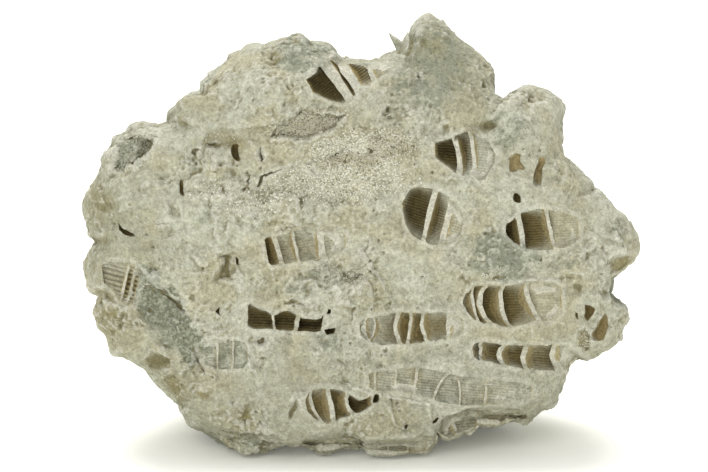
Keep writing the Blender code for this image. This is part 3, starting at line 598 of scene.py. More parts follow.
# the tubes: each is drawn as its side shows it, by the two long edges of its mouth, depth and plates
tubes = {
    "wall": 0.6,             # mm of rock around each bore that goes with the corallite
    "overrun": 0.8,          # mm of it past the first and the last plate
    "ribSpacing": 0.47,      # mm
    "ribHeight": 0.085,      # mm up and down from the bore
    "samplesPerRib": 4,
    "fillet": 0.22,          # mm by which the corner between wall and plate is rounded
    "radiusShare": 1.3,      # radius of the ribbed wall over the widest half of the mouth
    "raggedness": 1.2,       # units by which the edges of the mouths wander
    "ragWaves": ((7.0, 0.7), (2.6, 0.5), (1.1, 0.3)),   # units, share
    "plateRipple": 0.6,      # units
    "plateCurl": 2.2,        # units by which a plate curls at its deepest
    "plateUneven": 0.22,     # share by which its thickness varies
    "outerTurns": 40,        # points around and rings along the smooth outside
    "outerRings": 30,
    "headroom": 3.0,         # mm that the cut reaches above the surface
    "recess": 0.5,           # mm that the broken plate edges lie below the rim
    "lip": 0.1,              # mm that the rim stands up
    # in front, axis: its two ends; depth: (share of the axis, mm); lean: how far a plate goes along for its
    # depth; ribs and spacing: their height and distance against the usual; curve: degree of the line of the
    # axis; grey: how grey it is inside; plates: upper end, lower end, thickness, bend at the middle, and
    # how dark the painted shade of the chamber after it is
    "upper": (
        {"axis": ((306, 84), (380, 32)), "lean": 0.1, "ribs": 1.1,
         "upper": ((304, 79), (310, 76), (315, 72), (317, 67), (321, 64), (329, 59), (337, 57), (347, 61),
                   (359, 61), (372, 61), (392, 56)),
         "lower": ((312, 92), (317, 94), (322, 97), (329, 100), (336, 102), (344, 103), (352, 99),
                   (358, 92), (363, 85), (370, 83), (376, 79), (386, 73), (397, 66)),
         "depth": ((0, 2.4), (0.08, 3.8), (0.35, 3.6), (0.5, 2.4), (0.65, 1.8), (0.8, 0.6), (1, 0.3)),
         "plates": (((305, 79), (311, 91), 1, 0, 0.9), ((325, 63), (350, 99), 10.5, 0, 0.75),
                    ((337, 60), (358, 88), 9, 0, 0.8), ((363, 62), (375, 80), 5, 0, 0.35),
                    ((392, 56), (397, 66), 1, 0, 0))},
        {"axis": ((434, 150), (497, 156)), "lean": 0.15, "ribs": 1.2,
         "upper": ((434, 145), (437, 141), (444, 140), (452, 137), (458, 134), (464, 132), (472, 131),
                   (480, 133), (488, 140), (494, 149), (497, 154)),
         "lower": ((434, 153), (437, 158), (442, 162), (449, 167), (457, 173), (462, 175), (468, 176),
                   (474, 177), (480, 180), (486, 180), (491, 170), (497, 160)),
         "depth": ((0, 1.5), (0.12, 4), (0.45, 3.4), (0.6, 1.6), (0.8, 0.8), (1, 0.2)),
         "plates": (((435, 144), (435, 154), 1, 0, 0.75), ((455, 137), (460, 174), 5, 1, 0.5),
                    ((471, 131), (472, 177), 4, 2, 0.28), ((496, 152), (497, 160), 1, 0, 0))},
        {"axis": ((402, 206), (464, 226)), "lean": 0.12, "ribs": 1.2,
         "upper": ((402, 203), (404, 196), (410, 189), (418, 186), (428, 188), (436, 190), (445, 194),
                   (452, 197), (458, 203), (464, 215)),
         "lower": ((402, 209), (404, 218), (408, 228), (413, 235), (420, 240), (430, 244), (438, 245),
                   (446, 245), (456, 242), (462, 237), (465, 227)),
         "depth": ((0, 1.5), (0.12, 4.3), (0.4, 4.2), (0.6, 2.6), (0.75, 1), (1, 0.2)),
         "plates": (((402, 203), (403, 211), 1, 0, 0.55), ((436, 191), (423, 242), 5, -1, 0.5),
                    ((452, 197), (441, 245), 5, 0, 0.28), ((464, 215), (463, 237), 1, 0, 0))},
        {"axis": ((506, 231), (582, 229)), "lean": -0.2, "ribs": 0.9,
         "upper": ((506, 228), (509, 223), (514, 220), (518, 215), (524, 212), (535, 210), (548, 208),
                   (558, 211), (568, 213), (577, 216), (582, 223)),
         "lower": ((506, 234), (511, 238), (516, 243), (522, 246), (527, 249), (536, 250), (548, 250),
                   (558, 248), (566, 247), (576, 243), (582, 237)),
         "depth": ((0, 1), (0.08, 3.2), (0.3, 3.6), (0.55, 2.4), (0.68, 0.9), (1, 0.3)),
         "plates": (((506, 228), (507, 234), 1, 0, 1.4), ((519, 215), (524, 248), 5, 2, 0.9),
                    ((548, 209), (557, 249), 4, 0, 0.25), ((580, 219), (581, 240), 1, 0, 0))},
        {"axis": ((245, 321), (334, 325)), "lean": 0, "ribs": 1,
         "upper": ((245, 308), (249, 304), (254, 306), (259, 310), (266, 312), (272, 316), (276, 314),
                   (281, 311), (287, 311), (292, 313), (297, 316), (303, 319), (312, 320), (320, 319),
                   (324, 315)),
         "lower": ((245, 326), (252, 329), (262, 330), (272, 330), (284, 331), (296, 331), (310, 332),
                   (320, 332), (325, 329)),
         "depth": ((0, 1.5), (0.1, 3), (0.9, 3.2), (1, 2)),
         "plates": (((246, 306), (246, 327), 1, 0, 1), ((272, 315), (273, 331), 2.5, 0, 1.1),
                    ((298, 316), (294, 332), 4, 0, 1.3), ((324, 315), (320, 333), 1, 0, 0))},
        {"axis": ((262, 252), (346, 240)), "lean": -0.2, "ribs": 0.7, "grey": 0.3,
         "upper": ((262, 241), (265, 237), (270, 236), (279, 235), (291, 232), (306, 229), (318, 226),
                   (328, 226), (338, 229), (345, 233)),
         "lower": ((264, 256), (267, 262), (271, 265), (277, 265), (283, 264), (297, 262), (308, 260),
                   (318, 261), (328, 259), (338, 254), (346, 247)),
         "depth": ((0, 1.5), (0.07, 2.8), (0.2, 1.9), (0.6, 1.7), (0.75, 1), (1, 0.2)),
         "plates": (((263, 240), (266, 259), 1, 0, 1.6), ((273, 236), (281, 265), 5, 1, 0.5),
                    ((292, 232), (298, 262), 3, 1, 0.45), ((321, 226), (323, 261), 8, 0, 0.6),
                    ((345, 233), (346, 247), 1, 0, 0))},
        {"axis": ((98, 270), (137, 280)), "lean": 0, "ribs": 2, "spacing": 1.8,
         "upper": ((98, 266), (104, 262), (114, 262), (126, 262), (134, 266), (141, 272)),
         "lower": ((100, 284), (106, 287), (111, 292), (117, 302), (124, 306), (132, 305)),
         "depth": ((0, 0.7), (0.3, 0.9), (0.7, 1.2), (1, 1)),
         "plates": (((99, 266), (101, 285), 1, 0, 0.9), ((128, 262), (117, 303), 2.5, 0, 1.6),
                    ((134, 267), (124, 306), 2, 0, 1.6), ((139, 272), (131, 305), 1, 0, 0))},
        {"axis": ((196, 354), (247, 356)), "lean": 0, "ribs": 0.6, "grey": 0.6,
         "upper": ((196, 348), (203, 342), (216, 341), (232, 341), (244, 343), (248, 350)),
         "lower": ((197, 360), (205, 367), (218, 370), (232, 370), (243, 368), (248, 361)),
         "depth": ((0, 0.5), (0.5, 1.2), (1, 0.5)),
         "plates": (((197, 348), (198, 361), 1, 0, 0.6), ((216, 341), (216, 370), 2, 0, 0.5),
                    ((232, 341), (231, 370), 2, 0, 0.5), ((247, 349), (247, 362), 1, 0, 0))},
    ),
    "lower": (
        {"axis": ((464, 304), (565, 301)), "lean": -0.4, "ribs": 0.8,
         "upper": ((464, 300), (467, 294), (471, 291), (475, 286), (487, 286), (504, 286), (518, 284),
                   (530, 282), (545, 282), (557, 283), (564, 288)),
         "lower": ((465, 307), (469, 314), (475, 320), (484, 323), (493, 322), (501, 326), (511, 328),
                   (524, 325), (536, 321), (546, 321), (558, 319), (564, 312)),
         "depth": ((0, 0.8), (0.1, 2.4), (0.2, 3.4), (0.45, 3.4), (0.62, 2.6), (0.74, 0.9), (1, 0.3)),
         "plates": (((465, 298), (466, 309), 1, -2, 0.7), ((474, 289), (479, 321), 3, -1, 1.25),
                    ((488, 286), (492, 323), 5, -8, 0.85), ((504, 286), (512, 327), 4, -4, 0.8),
                    ((530, 282), (541, 322), 5, -3, 0.22), ((563, 285), (564, 314), 1, 0, 0))},
        {"axis": ((472, 351), (581, 360)), "lean": 0.35, "ribs": 0.7,
         "upper": ((472, 349), (475, 345), (481, 343), (492, 343), (505, 345), (518, 346), (530, 346),
                   (545, 346), (558, 345), (570, 347), (580, 352)),
         "lower": ((473, 354), (475, 358), (480, 361), (488, 362), (498, 364), (511, 367), (524, 369),
                   (536, 370), (548, 371), (560, 371), (571, 366), (581, 358)),
         "depth": ((0, 1), (0.08, 2.6), (0.5, 2.8), (0.74, 2.4), (0.84, 0.8), (1, 0.2)),
         "plates": (((473, 348), (474, 356), 1, 0, 1), ((482, 343), (482, 361), 3, -2, 0.85),
                    ((505, 345), (506, 366), 5, -7, 0.8), ((529, 346), (528, 370), 5, -6, 0.65),
                    ((558, 345), (560, 371), 5, -6, 0.22), ((579, 351), (581, 359), 1, 0, 0))},
        {"axis": ((358, 329), (466, 328)), "lean": 0.35, "ribs": 0.35,
         "upper": ((358, 325), (362, 320), (368, 318), (378, 317), (388, 315), (398, 313), (410, 313),
                   (424, 314), (438, 313), (450, 313), (459, 316), (466, 322)),
         "lower": ((359, 332), (363, 338), (368, 341), (380, 344), (392, 345), (402, 345), (414, 344),
                   (427, 342), (440, 341), (451, 339), (460, 336), (466, 332)),
         "depth": ((0, 0.4), (0.08, 1.4), (0.3, 2.4), (0.6, 2.6), (0.78, 2), (0.86, 0.6), (1, 0.2)),
         "plates": (((359, 325), (360, 333), 1, 0, 0.35), ((367, 318), (369, 341), 2.5, -6, 0.55),
                    ((374, 317), (369, 341), 1.6, 1, 0.6), ((399, 313), (401, 345), 4, -5, 1.15),
                    ((411, 313), (408, 344), 3.5, 0, 1.1), ((424, 314), (428, 342), 3.5, -5, 0.7),
                    ((449, 313), (449, 339), 3.5, -2, 0.15), ((464, 320), (465, 333), 1, 0, 0))},
        {"axis": ((304, 407), (373, 403)), "lean": -0.35, "ribs": 0.5,
         "upper": ((303, 402), (307, 396), (311, 390), (318, 389), (328, 388), (338, 391), (347, 394),
                   (353, 398), (360, 402), (366, 399), (372, 396)),
         "lower": ((305, 411), (311, 417), (318, 422), (326, 424), (334, 424), (342, 419), (350, 416),
                   (358, 414), (366, 410), (373, 404)),
         "depth": ((0, 0.6), (0.1, 2), (0.45, 3), (0.8, 3.4), (1, 2)),
         "plates": (((304, 401), (306, 412), 1, 0, 0.4), ((311, 390), (322, 423), 4, -4, 0.9),
                    ((328, 389), (333, 424), 5, 2, 1.1), ((347, 394), (353, 415), 3.5, -2, 1.6),
                    ((371, 397), (372, 404), 1, 0, 0))},
        {"axis": ((367, 383), (536, 394)), "lean": 0, "ribs": 1.1, "curve": 2, "grey": 0.35,
         "upper": ((367, 376), (375, 373), (396, 370), (417, 368), (440, 372), (462, 377), (490, 380),
                   (523, 384), (536, 389)),
         "lower": ((368, 388), (376, 391), (396, 394), (414, 395), (434, 401), (460, 406), (480, 406),
                   (496, 405), (520, 402), (536, 398)),
         "depth": ((0, 0.4), (0.15, 0.8), (0.4, 1.3), (0.6, 1.1), (0.8, 0.7), (1, 0.2)),
         "plates": (((368, 377), (369, 388), 1, 0, 0.3), ((375, 374), (375, 391), 2, 0, 0.35),
                    ((396, 370), (396, 394), 2, 0, 0.5), ((418, 368), (414, 396), 3, 0, 0.6),
                    ((449, 374), (434, 402), 2.5, -3, 0.55), ((458, 376), (460, 406), 1.8, 2, 0.4),
                    ((487, 380), (486, 406), 2.5, 0, 0.3), ((534, 388), (535, 398), 1, 0, 0))},
        {"axis": ((438, 428), (480, 424)), "lean": -0.2, "ribs": 1,
         "upper": ((439, 423), (443, 418), (448, 415), (458, 415), (470, 417), (480, 421)),
         "lower": ((439, 433), (443, 437), (450, 438), (460, 434), (470, 430), (480, 426)),
         "depth": ((0, 0.8), (0.3, 1.3), (1, 0.6)),
         "plates": (((440, 422), (440, 434), 1, 0, 1), ((456, 415), (457, 435), 2.5, 0, 0.8),
                    ((478, 420), (478, 427), 1, 0, 0))},
        {"axis": ((368, 446), (428, 448)), "lean": 0, "ribs": 0.5,
         "upper": ((368, 443), (378, 441), (398, 441), (416, 441), (428, 444)),
         "lower": ((369, 449), (378, 451), (398, 453), (416, 453), (428, 451)),
         "depth": ((0, 0.4), (0.5, 0.9), (1, 0.4)),
         "plates": (((369, 443), (370, 449), 1, 0, 0.6), ((387, 441), (389, 453), 2, 0, 0.7),
                    ((409, 441), (408, 454), 2, 0, 0.6), ((427, 444), (427, 451), 1, 0, 0))},
    ),
    # side, axis start, axis end, half of the width, greatest depth, lean, plates: upper u, lower u and
    # thickness
    "around": (
        ("back", (230, 152), (330, 160), 18, 3.4, -0.3, ((262, 266, 5), (290, 296, 4))),
        ("back", (420, 205), (520, 214), 19, 3.6, -0.3, ((452, 448, 4), (482, 478, 5))),
        ("back", (210, 285), (318, 276), 17, 3.2, 0.3, ((240, 244, 4), (274, 276, 4), (296, 300, 3))),
        ("back", (400, 322), (505, 318), 15, 1.1, 0, ((438, 432, 3), (468, 466, 3))),
        ("left", (240, 170), (320, 180), 17, 3.2, -0.3, ((270, 272, 4), (296, 300, 4))),
        ("right", (385, 268), (475, 262), 18, 3.4, -0.3, ((418, 416, 5), (446, 444, 4))),
        ("top", (270, 152), (365, 160), 18, 3.2, -0.3, ((302, 306, 4), (334, 338, 4))),
    ),
    # the outline of those: shares of the axis and of half the width
    "oval": ((0, 0.15), (0.04, 0.5), (0.12, 0.82), (0.28, 1.0), (0.55, 0.96), (0.8, 0.8), (0.94, 0.5),
             (1, 0.2)),
    "ovalDepth": ((0, 0.35), (0.12, 1.0), (0.45, 0.95), (0.7, 0.5), (1, 0.1)),
    "ovalBend": -2,          # units, of their plates
    # the shades below set how dark the painted shade in these tubes' chambers is
    "ovalShades": (1.2, 1.0, 0.35),   # of the first chamber, of the second and how much less each next one
}


def ovalTube(side, start, end, half, deepest, lean, plates):
    # the full description of a tube that is given in short
    start, end = np.array(start, float), np.array(end, float)
    along = (end - start) / np.linalg.norm(end - start)
    over = np.array((along[1], -along[0]))
    shares = np.array(tubes["oval"])
    middles = start + shares[:, :1] * (end - start)
    edges = [middles + sign * half * shares[:, 1:] * over for sign in (1, -1)]
    depths = [(share, deepest * part) for share, part in tubes["ovalDepth"]]

    def across(upperU, lowerU, thickness, bend, shade):
        # a plate from the upper to the lower edge
        ends = [(u, np.interp(u, edge[:, 0], edge[:, 1])) for u, edge in zip((upperU, lowerU), edges)]
        return (*ends, thickness, bend, shade)

    firstShade, shade, lighter = tubes["ovalShades"]
    inner = [across(*plate, tubes["ovalBend"], shade - lighter * k) for k, plate in enumerate(plates)]
    first = across(start[0] + 1, start[0] + 1, 1, 0, firstShade)
    last = across(end[0] - 1, end[0] - 1, 1, 0, 0)
    return {"side": side, "axis": (start, end), "lean": lean, "ribs": 1.0, "upper": edges[0],
            "lower": edges[1], "depth": depths, "plates": (first, *inner, last)}


def surfaceDepth(seat, side, u, v):
    # depth at which the line of sight of a place meets the rock, or of the nearest place toward the middle
    # where the rock faces the viewer
    reach, leastFacing = 0.09, 0.4
    for share in np.linspace(0, 1, 60):
        nearU = u + (picture["centreU"] - u) * share
        nearV = v + (picture["centreV"] - v) * share
        ends = placed(side, np.full(2, nearU), np.full(2, nearV), np.array((-reach, reach)))
        start, way = Vector(ends[0]), Vector(ends[1] - ends[0])
        hit, spot, normal, _ = seat.ray_cast(start, way.normalized())
        if hit and -normal.dot(way.normalized()) > leastFacing:
            return -reach + 2 * reach * (spot - start).length / way.length
    raise ValueError("no surface under this place")


def alongTube(tube, u, v):
    # run along the axis and distance above it, in units
    alongU, alongV = tube["along"]
    offU, offV = u - tube["start"][0], v - tube["start"][1]
    return offU * alongU + offV * alongV, offU * alongV - offV * alongU


def quadratic(x, y):
    # terms of a quadratic surface
    return np.stack((np.ones_like(x), x, y, x * x, x * y, y * y), axis=-1)


def seatTube(seat, tube, seed):
    # adds the tube's frame and the quadratic surface fitted to the depth of the rock over its mouth
    start, end = (np.array(place, float) for place in tube["axis"])
    length = np.linalg.norm(end - start)
    made = dict(tube, start=start, along=(end - start) / length, length=length, seed=seed)
    for key in ("upper", "lower"):
        runs, asides = alongTube(made, *np.array(tube[key], float).T)
        order = np.argsort(runs)
        made[key + "Edge"] = (runs[order], asides[order])
    made["plates"] = [(np.array(alongTube(made, *upper)), np.array(alongTube(made, *lower)), *rest)
                      for upper, lower, *rest in tube["plates"]]
    made["depthAt"] = tuple(np.array(tube["depth"], float).T)
    runs = np.linspace(0, length, 40)
    upper, lower = (np.interp(runs, *made[key]) for key in ("upperEdge", "lowerEdge"))
    made["spine"] = np.polyfit(runs, (upper + lower) / 2, tube.get("curve", 0))
    spine = np.polyval(made["spine"], runs)
    made["radius"] = tubes["radiusShare"] * max((upper - spine).max(), (spine - lower).max())
    rows, depths = [], []
    for run in np.linspace(0.04, 0.96, 7) * length:
        upper, lower = (np.interp(run, *made[key]) for key in ("upperEdge", "lowerEdge"))
        for share in (-0.1, 0.2, 0.5, 0.8, 1.1):
            aside = lower + (upper - lower) * share
            u = start[0] + made["along"][0] * run + made["along"][1] * aside
            v = start[1] + made["along"][1] * run - made["along"][0] * aside
            rows.append((run, aside))
            depths.append(surfaceDepth(seat, tube["side"], u, v))
    rows = np.array(rows) / length
    made["surface"] = np.linalg.lstsq(quadratic(rows[:, 0], rows[:, 1]), np.array(depths), rcond=None)[0]
    return made


def ragged(run, seed):
    # noise along a line, about -1 to 1
    flat = np.ravel(run)
    places = np.stack((flat, np.full_like(flat, seed * 7.3), np.zeros_like(flat)), axis=1)
    waves = [amount * smoothNoise(places, size, 31) for size, amount in tubes["ragWaves"]]
    return sum(waves).reshape(np.shape(run))


def mouthAt(tube, run):
    # middle and half width of the mouth at a run, in units
    wander = tubes["raggedness"]
    upper = np.interp(run, *tube["upperEdge"]) + wander * ragged(run, tube["seed"])
    lower = np.interp(run, *tube["lowerEdge"]) + wander * ragged(run, tube["seed"] + 0.5)
    return (upper + lower) / 2, np.maximum((upper - lower) / 2, 0.4)


def sectionAt(tube, run, turns, wall=0.0):
    # middle, half width and the cosine and sine of the lines of a section: the lines of the bore keep
    # their distance from the spine, c = d / (1 + |d|^5)^(1/5), so that ribs run straight and are drawn in
    # at the rim
    middle, half = mouthAt(tube, run)
    half = half + wall * mm / unit
    reach = (np.polyval(tube["spine"], run) + tube["radius"] * np.cos(turns) - middle) / half
    bore = np.sin(turns) > 1e-9
    above = np.sign(np.cos(turns)) * np.abs(np.cos(turns)) ** 0.3
    cosine = np.where(bore, reach / (1 + np.abs(reach) ** 5) ** 0.2, above)
    sine = np.where(bore, np.sqrt(np.clip(1 - cosine ** 2, 0, 1)), np.sin(turns))
    return middle, half, cosine, sine


def plateRun(tube, plate, face, share, turns):
    # run of a plate's face: straight between its two ends, + 4 bend w (1 - w) for the share w of the way
    # across, + a ripple, a curl with the depth squared and half of the thickness; the place across depends
    # on the run, so it is found in three rounds
    (lowRun, lowAside), (highRun, highAside) = plate[1], plate[0]
    thickness, bend = plate[2:4]
    run = np.full(np.broadcast(share, turns).shape, (lowRun + highRun) / 2)
    for _ in range(3):
        middle, half, cosine, sine = sectionAt(tube, run, turns)
        way = np.clip((middle + half * share * cosine - lowAside) / (highAside - lowAside), -0.1, 1.1)
        run = lowRun + (highRun - lowRun) * way + 4 * bend * way * (1 - way)
    ripple = ragged(way * 22, tube["seed"] + lowRun)
    curl = tubes["plateCurl"] * np.sign(tube["lean"]) * (share * np.clip(sine, 0, 1)) ** 2
    thick = thickness * (1 + tubes["plateUneven"] * ragged(way * 16, tube["seed"] + lowRun + 3))
    return run + tubes["plateRipple"] * ripple + (curl if thickness > 1 else 0) + face * thick / 2


def tubePoints(tube, run, share, turns, wall=0.0, ribs=0.0):
    # a place of the section at a run, and its mm below the surface: from turn 0 to half a turn the bore,
    # depth * sin(turn)^power with a flatter power where it is shallow, and then the straight cut above it
    middle, half, cosine, sine = sectionAt(tube, run, turns, wall)
    deepest = np.interp(run / tube["length"], *tube["depthAt"]) + wall
    power = np.clip(1.9 - 0.9 * deepest / (half * unit / mm), 0.9, 1.7)
    share = share * (1 - ribs * (1 - np.clip(cosine, -1, 1) ** 12) / (half * unit / mm))
    below = share * np.where(sine > 0, deepest * np.abs(sine) ** power, (tubes["headroom"] + wall) * sine)
    aside = middle + share * half * cosine
    surface = quadratic(run / tube["length"], aside / tube["length"]) @ tube["surface"]
    leaning = run + tube["lean"] * np.clip(below, 0, None) * mm / unit
    alongU, alongV = tube["along"]
    u = tube["start"][0] + alongU * leaning + alongV * aside
    v = tube["start"][1] + alongV * leaning - alongU * aside
    return placed(tube["side"], u, v, surface + below * mm), below


def sectionTurns(samples):
    # turns around the section: even steps along the bore and a few above it
    lower = np.linspace(0, math.pi, samples, endpoint=False)
    return np.concatenate((lower, np.linspace(math.pi, 2 * math.pi, 14, endpoint=False)))


def ringsToFaces(rings, count, offset):
    # quads between neighbouring rings, and triangles to the two end points that come after the rings
    index = offset + np.arange(rings * count).reshape(rings, count)
    after = np.roll(index, -1, axis=1)
    quads = np.stack((index[:-1], index[1:], after[1:], after[:-1]), axis=-1).reshape(-1, 4)
    first, last = offset + rings * count, offset + rings * count + 1
    start = np.stack((np.full(count, first), index[0], after[0]), axis=-1)
    end = np.stack((np.full(count, last), after[-1], index[-1]), axis=-1)
    return quads, np.concatenate((start, end))


def chamberShell(tube, before, behind, seed):
    # a closed shell: out along the face of one plate, round a fillet, along the ribbed wall, and back in
    # along the next plate; ribs are waves of the distance from the axis
    spacing = tubes["ribSpacing"] * tube.get("spacing", 1)
    ribs = max(round(math.pi * tube["radius"] * unit / mm / spacing), 6)
    turns = sectionTurns(ribs * tubes["samplesPerRib"])
    bends = np.radians((30, 60, 90))
    faceShares = np.array((0.3, 0.6, 0.85))
    filletShares = 1 - 0.07 * (1 - np.sin(bends))
    wallSteps = 8
    inward = np.concatenate((filletShares[::-1], faceShares[::-1]))
    shares = np.concatenate((inward[::-1], np.ones(wallSteps), inward))
    zero = np.zeros(3)
    wall = 0.5 - 0.5 * np.cos(np.linspace(0, math.pi, wallSteps + 2)[1:-1])
    blend = np.concatenate((zero, zero, wall, zero + 1, zero + 1))[:, None]
    away = tubes["fillet"] * (1 - np.cos(bends)) * mm / unit
    offset = np.concatenate((zero, away, np.zeros(wallSteps), -away[::-1], zero))[:, None]
    fading = np.array((0.8, 0.5, 0.2))
    onPlate = np.concatenate((zero + 1, fading, np.zeros(wallSteps), fading[::-1], zero + 1))[:, None]
    share, turn = shares[:, None], turns[None, :]
    run = (1 - blend) * plateRun(tube, before, 1, share, turn)
    run = run + blend * plateRun(tube, behind, -1, share, turn)
    wave = np.where(turn < math.pi, np.cos(2 * turn * ribs), 0)
    ribbed = np.clip(share * 4 - 3, 0, 1) * tube["ribs"]
    points, below = tubePoints(tube, run + offset, share, turn, 0.0, tubes["ribHeight"] * wave * ribbed)
    points = points.reshape(-1, 3)
    ends = []
    for plate, face in ((before, 1), (behind, -1)):
        middleRun = plateRun(tube, plate, face, np.zeros(1), np.zeros(1))
        ends.append(tubePoints(tube, middleRun, np.zeros(1), np.zeros(1))[0])
    points = np.concatenate((points, *ends))
    points = points + 0.06 * mm * noiseVectors(points, 1.0 * mm, seed)
    # painted shade: the chamber is darker toward the side that its plates hide
    shade = before[4] * (1 + 0.22 * (1 - 2 * blend) * (-1 if tube["lean"] > 0.2 else 1))
    # the colour reads: mm below the surface times the shade, for painted shade; the troughs between ribs,
    # for painted shade; and the plate faces, golden, partly painted light
    groove = (0.5 - 0.5 * wave) * ribbed * (1 - onPlate)
    grey = tube.get("grey", 0)
    values = np.stack(np.broadcast_arrays(below * shade, groove, onPlate, grey), axis=-1).reshape(-1, 4)
    return points, np.concatenate((values, [[0.5, 0, 1, grey]] * 2)), len(shares), len(turns)


def tubeShell(tube):
    # the smooth outside of a tube: a wall wider and deeper than its bore, a little longer than its plates
    turns = sectionTurns(tubes["outerTurns"])
    steps = np.linspace(0, 1, tubes["outerRings"])[:, None]
    first = plateRun(tube, tube["plates"][0], 1, 1.0, turns[None, :]) - tubes["overrun"] * mm / unit
    last = plateRun(tube, tube["plates"][-1], -1, 1.0, turns[None, :]) + tubes["overrun"] * mm / unit
    run = (1 - steps) * first + steps * last
    points, _ = tubePoints(tube, run, 1.0 + 0 * run, turns[None, :], tubes["wall"])
    ends = [tubePoints(tube, run[k].mean(keepdims=True), np.zeros(1), np.zeros(1))[0] for k in (0, -1)]
    return np.concatenate((points.reshape(-1, 3), *ends)), tubes["outerRings"], len(turns)


def facingOut(points, quads, triangles):
    # turns every face round if the closed shell's volume comes out negative
    corners = points[triangles]
    volume = np.einsum("ij,ij->", corners[:, 0], np.cross(corners[:, 1], corners[:, 2]))
    for half in ((0, 1, 2), (0, 2, 3)):
        a, b, c = (points[quads[:, k]] for k in half)
        volume += np.einsum("ij,ij->", a, np.cross(b, c))
    return (quads, triangles) if volume > 0 else (quads[:, ::-1], triangles[:, ::-1])


def shellObject(name, shells):
    # one object from closed shells given as points, corner values, ring count and points per ring
    allPoints, allValues, allQuads, allTriangles, offset = [], [], [], [], 0
    for points, values, rings, count in shells:
        quads, triangles = facingOut(points, *ringsToFaces(rings, count, 0))
        allQuads.append(quads + offset)
        allTriangles.append(triangles + offset)
        allPoints.append(points)
        allValues.append(values)
        offset += len(points)
    points = np.concatenate(allPoints)
    values = np.concatenate(allValues)
    blank = np.zeros_like(points)
    corners = {"tone": blank, "marks": values[:, 3:] * (1, 0, 0), "region": blank, "tube": values[:, :3]}
    return makeMesh(name, points, np.concatenate(allQuads), np.concatenate(allTriangles), corners)


def mouthGap(tube, u, v):
    # signed distance in units from the rim of a tube's mouth, negative inside
    run, aside = alongTube(tube, u, v)
    gap = np.full(len(u), 99.0)
    near = (run > -25) & (run < tube["length"] + 25) & (np.abs(aside) < 55)
    run, aside = run[near], aside[near]
    middle, half = mouthAt(tube, run)
    first = min(tube["plates"][0][0][0], tube["plates"][0][1][0])
    last = max(tube["plates"][-1][0][0], tube["plates"][-1][1][0])
    over = np.maximum(first - run, run - last)
    outside = np.maximum(np.abs(aside - middle) - half, -half)
    gap[near] = np.where((outside > 0) & (over > 0), np.hypot(outside, over), np.maximum(outside, over))
    return gap


# the seat of the tubes: the lump without its fine relief
seatBall, seatQuads = ballGrid(40)
seat = makeMesh("seat", lumpPoints(*ballAngles(seatBall), False), seatQuads)
bpy.context.view_layer.update()
ovals = [ovalTube(*tube) for tube in tubes["around"]]
drawn = {key: [dict(tube, side="front") for tube in tubes[key]] for key in ("upper", "lower")}
drawn["around"] = ovals
seated = {}
for key, group in drawn.items():
    seated[key] = [seatTube(seat, tube, 10 * len(seated) + number) for number, tube in enumerate(group)]
allTubes = [tube for key in seated for tube in seated[key]]
print("stage: tubes seated", len(allTubes))

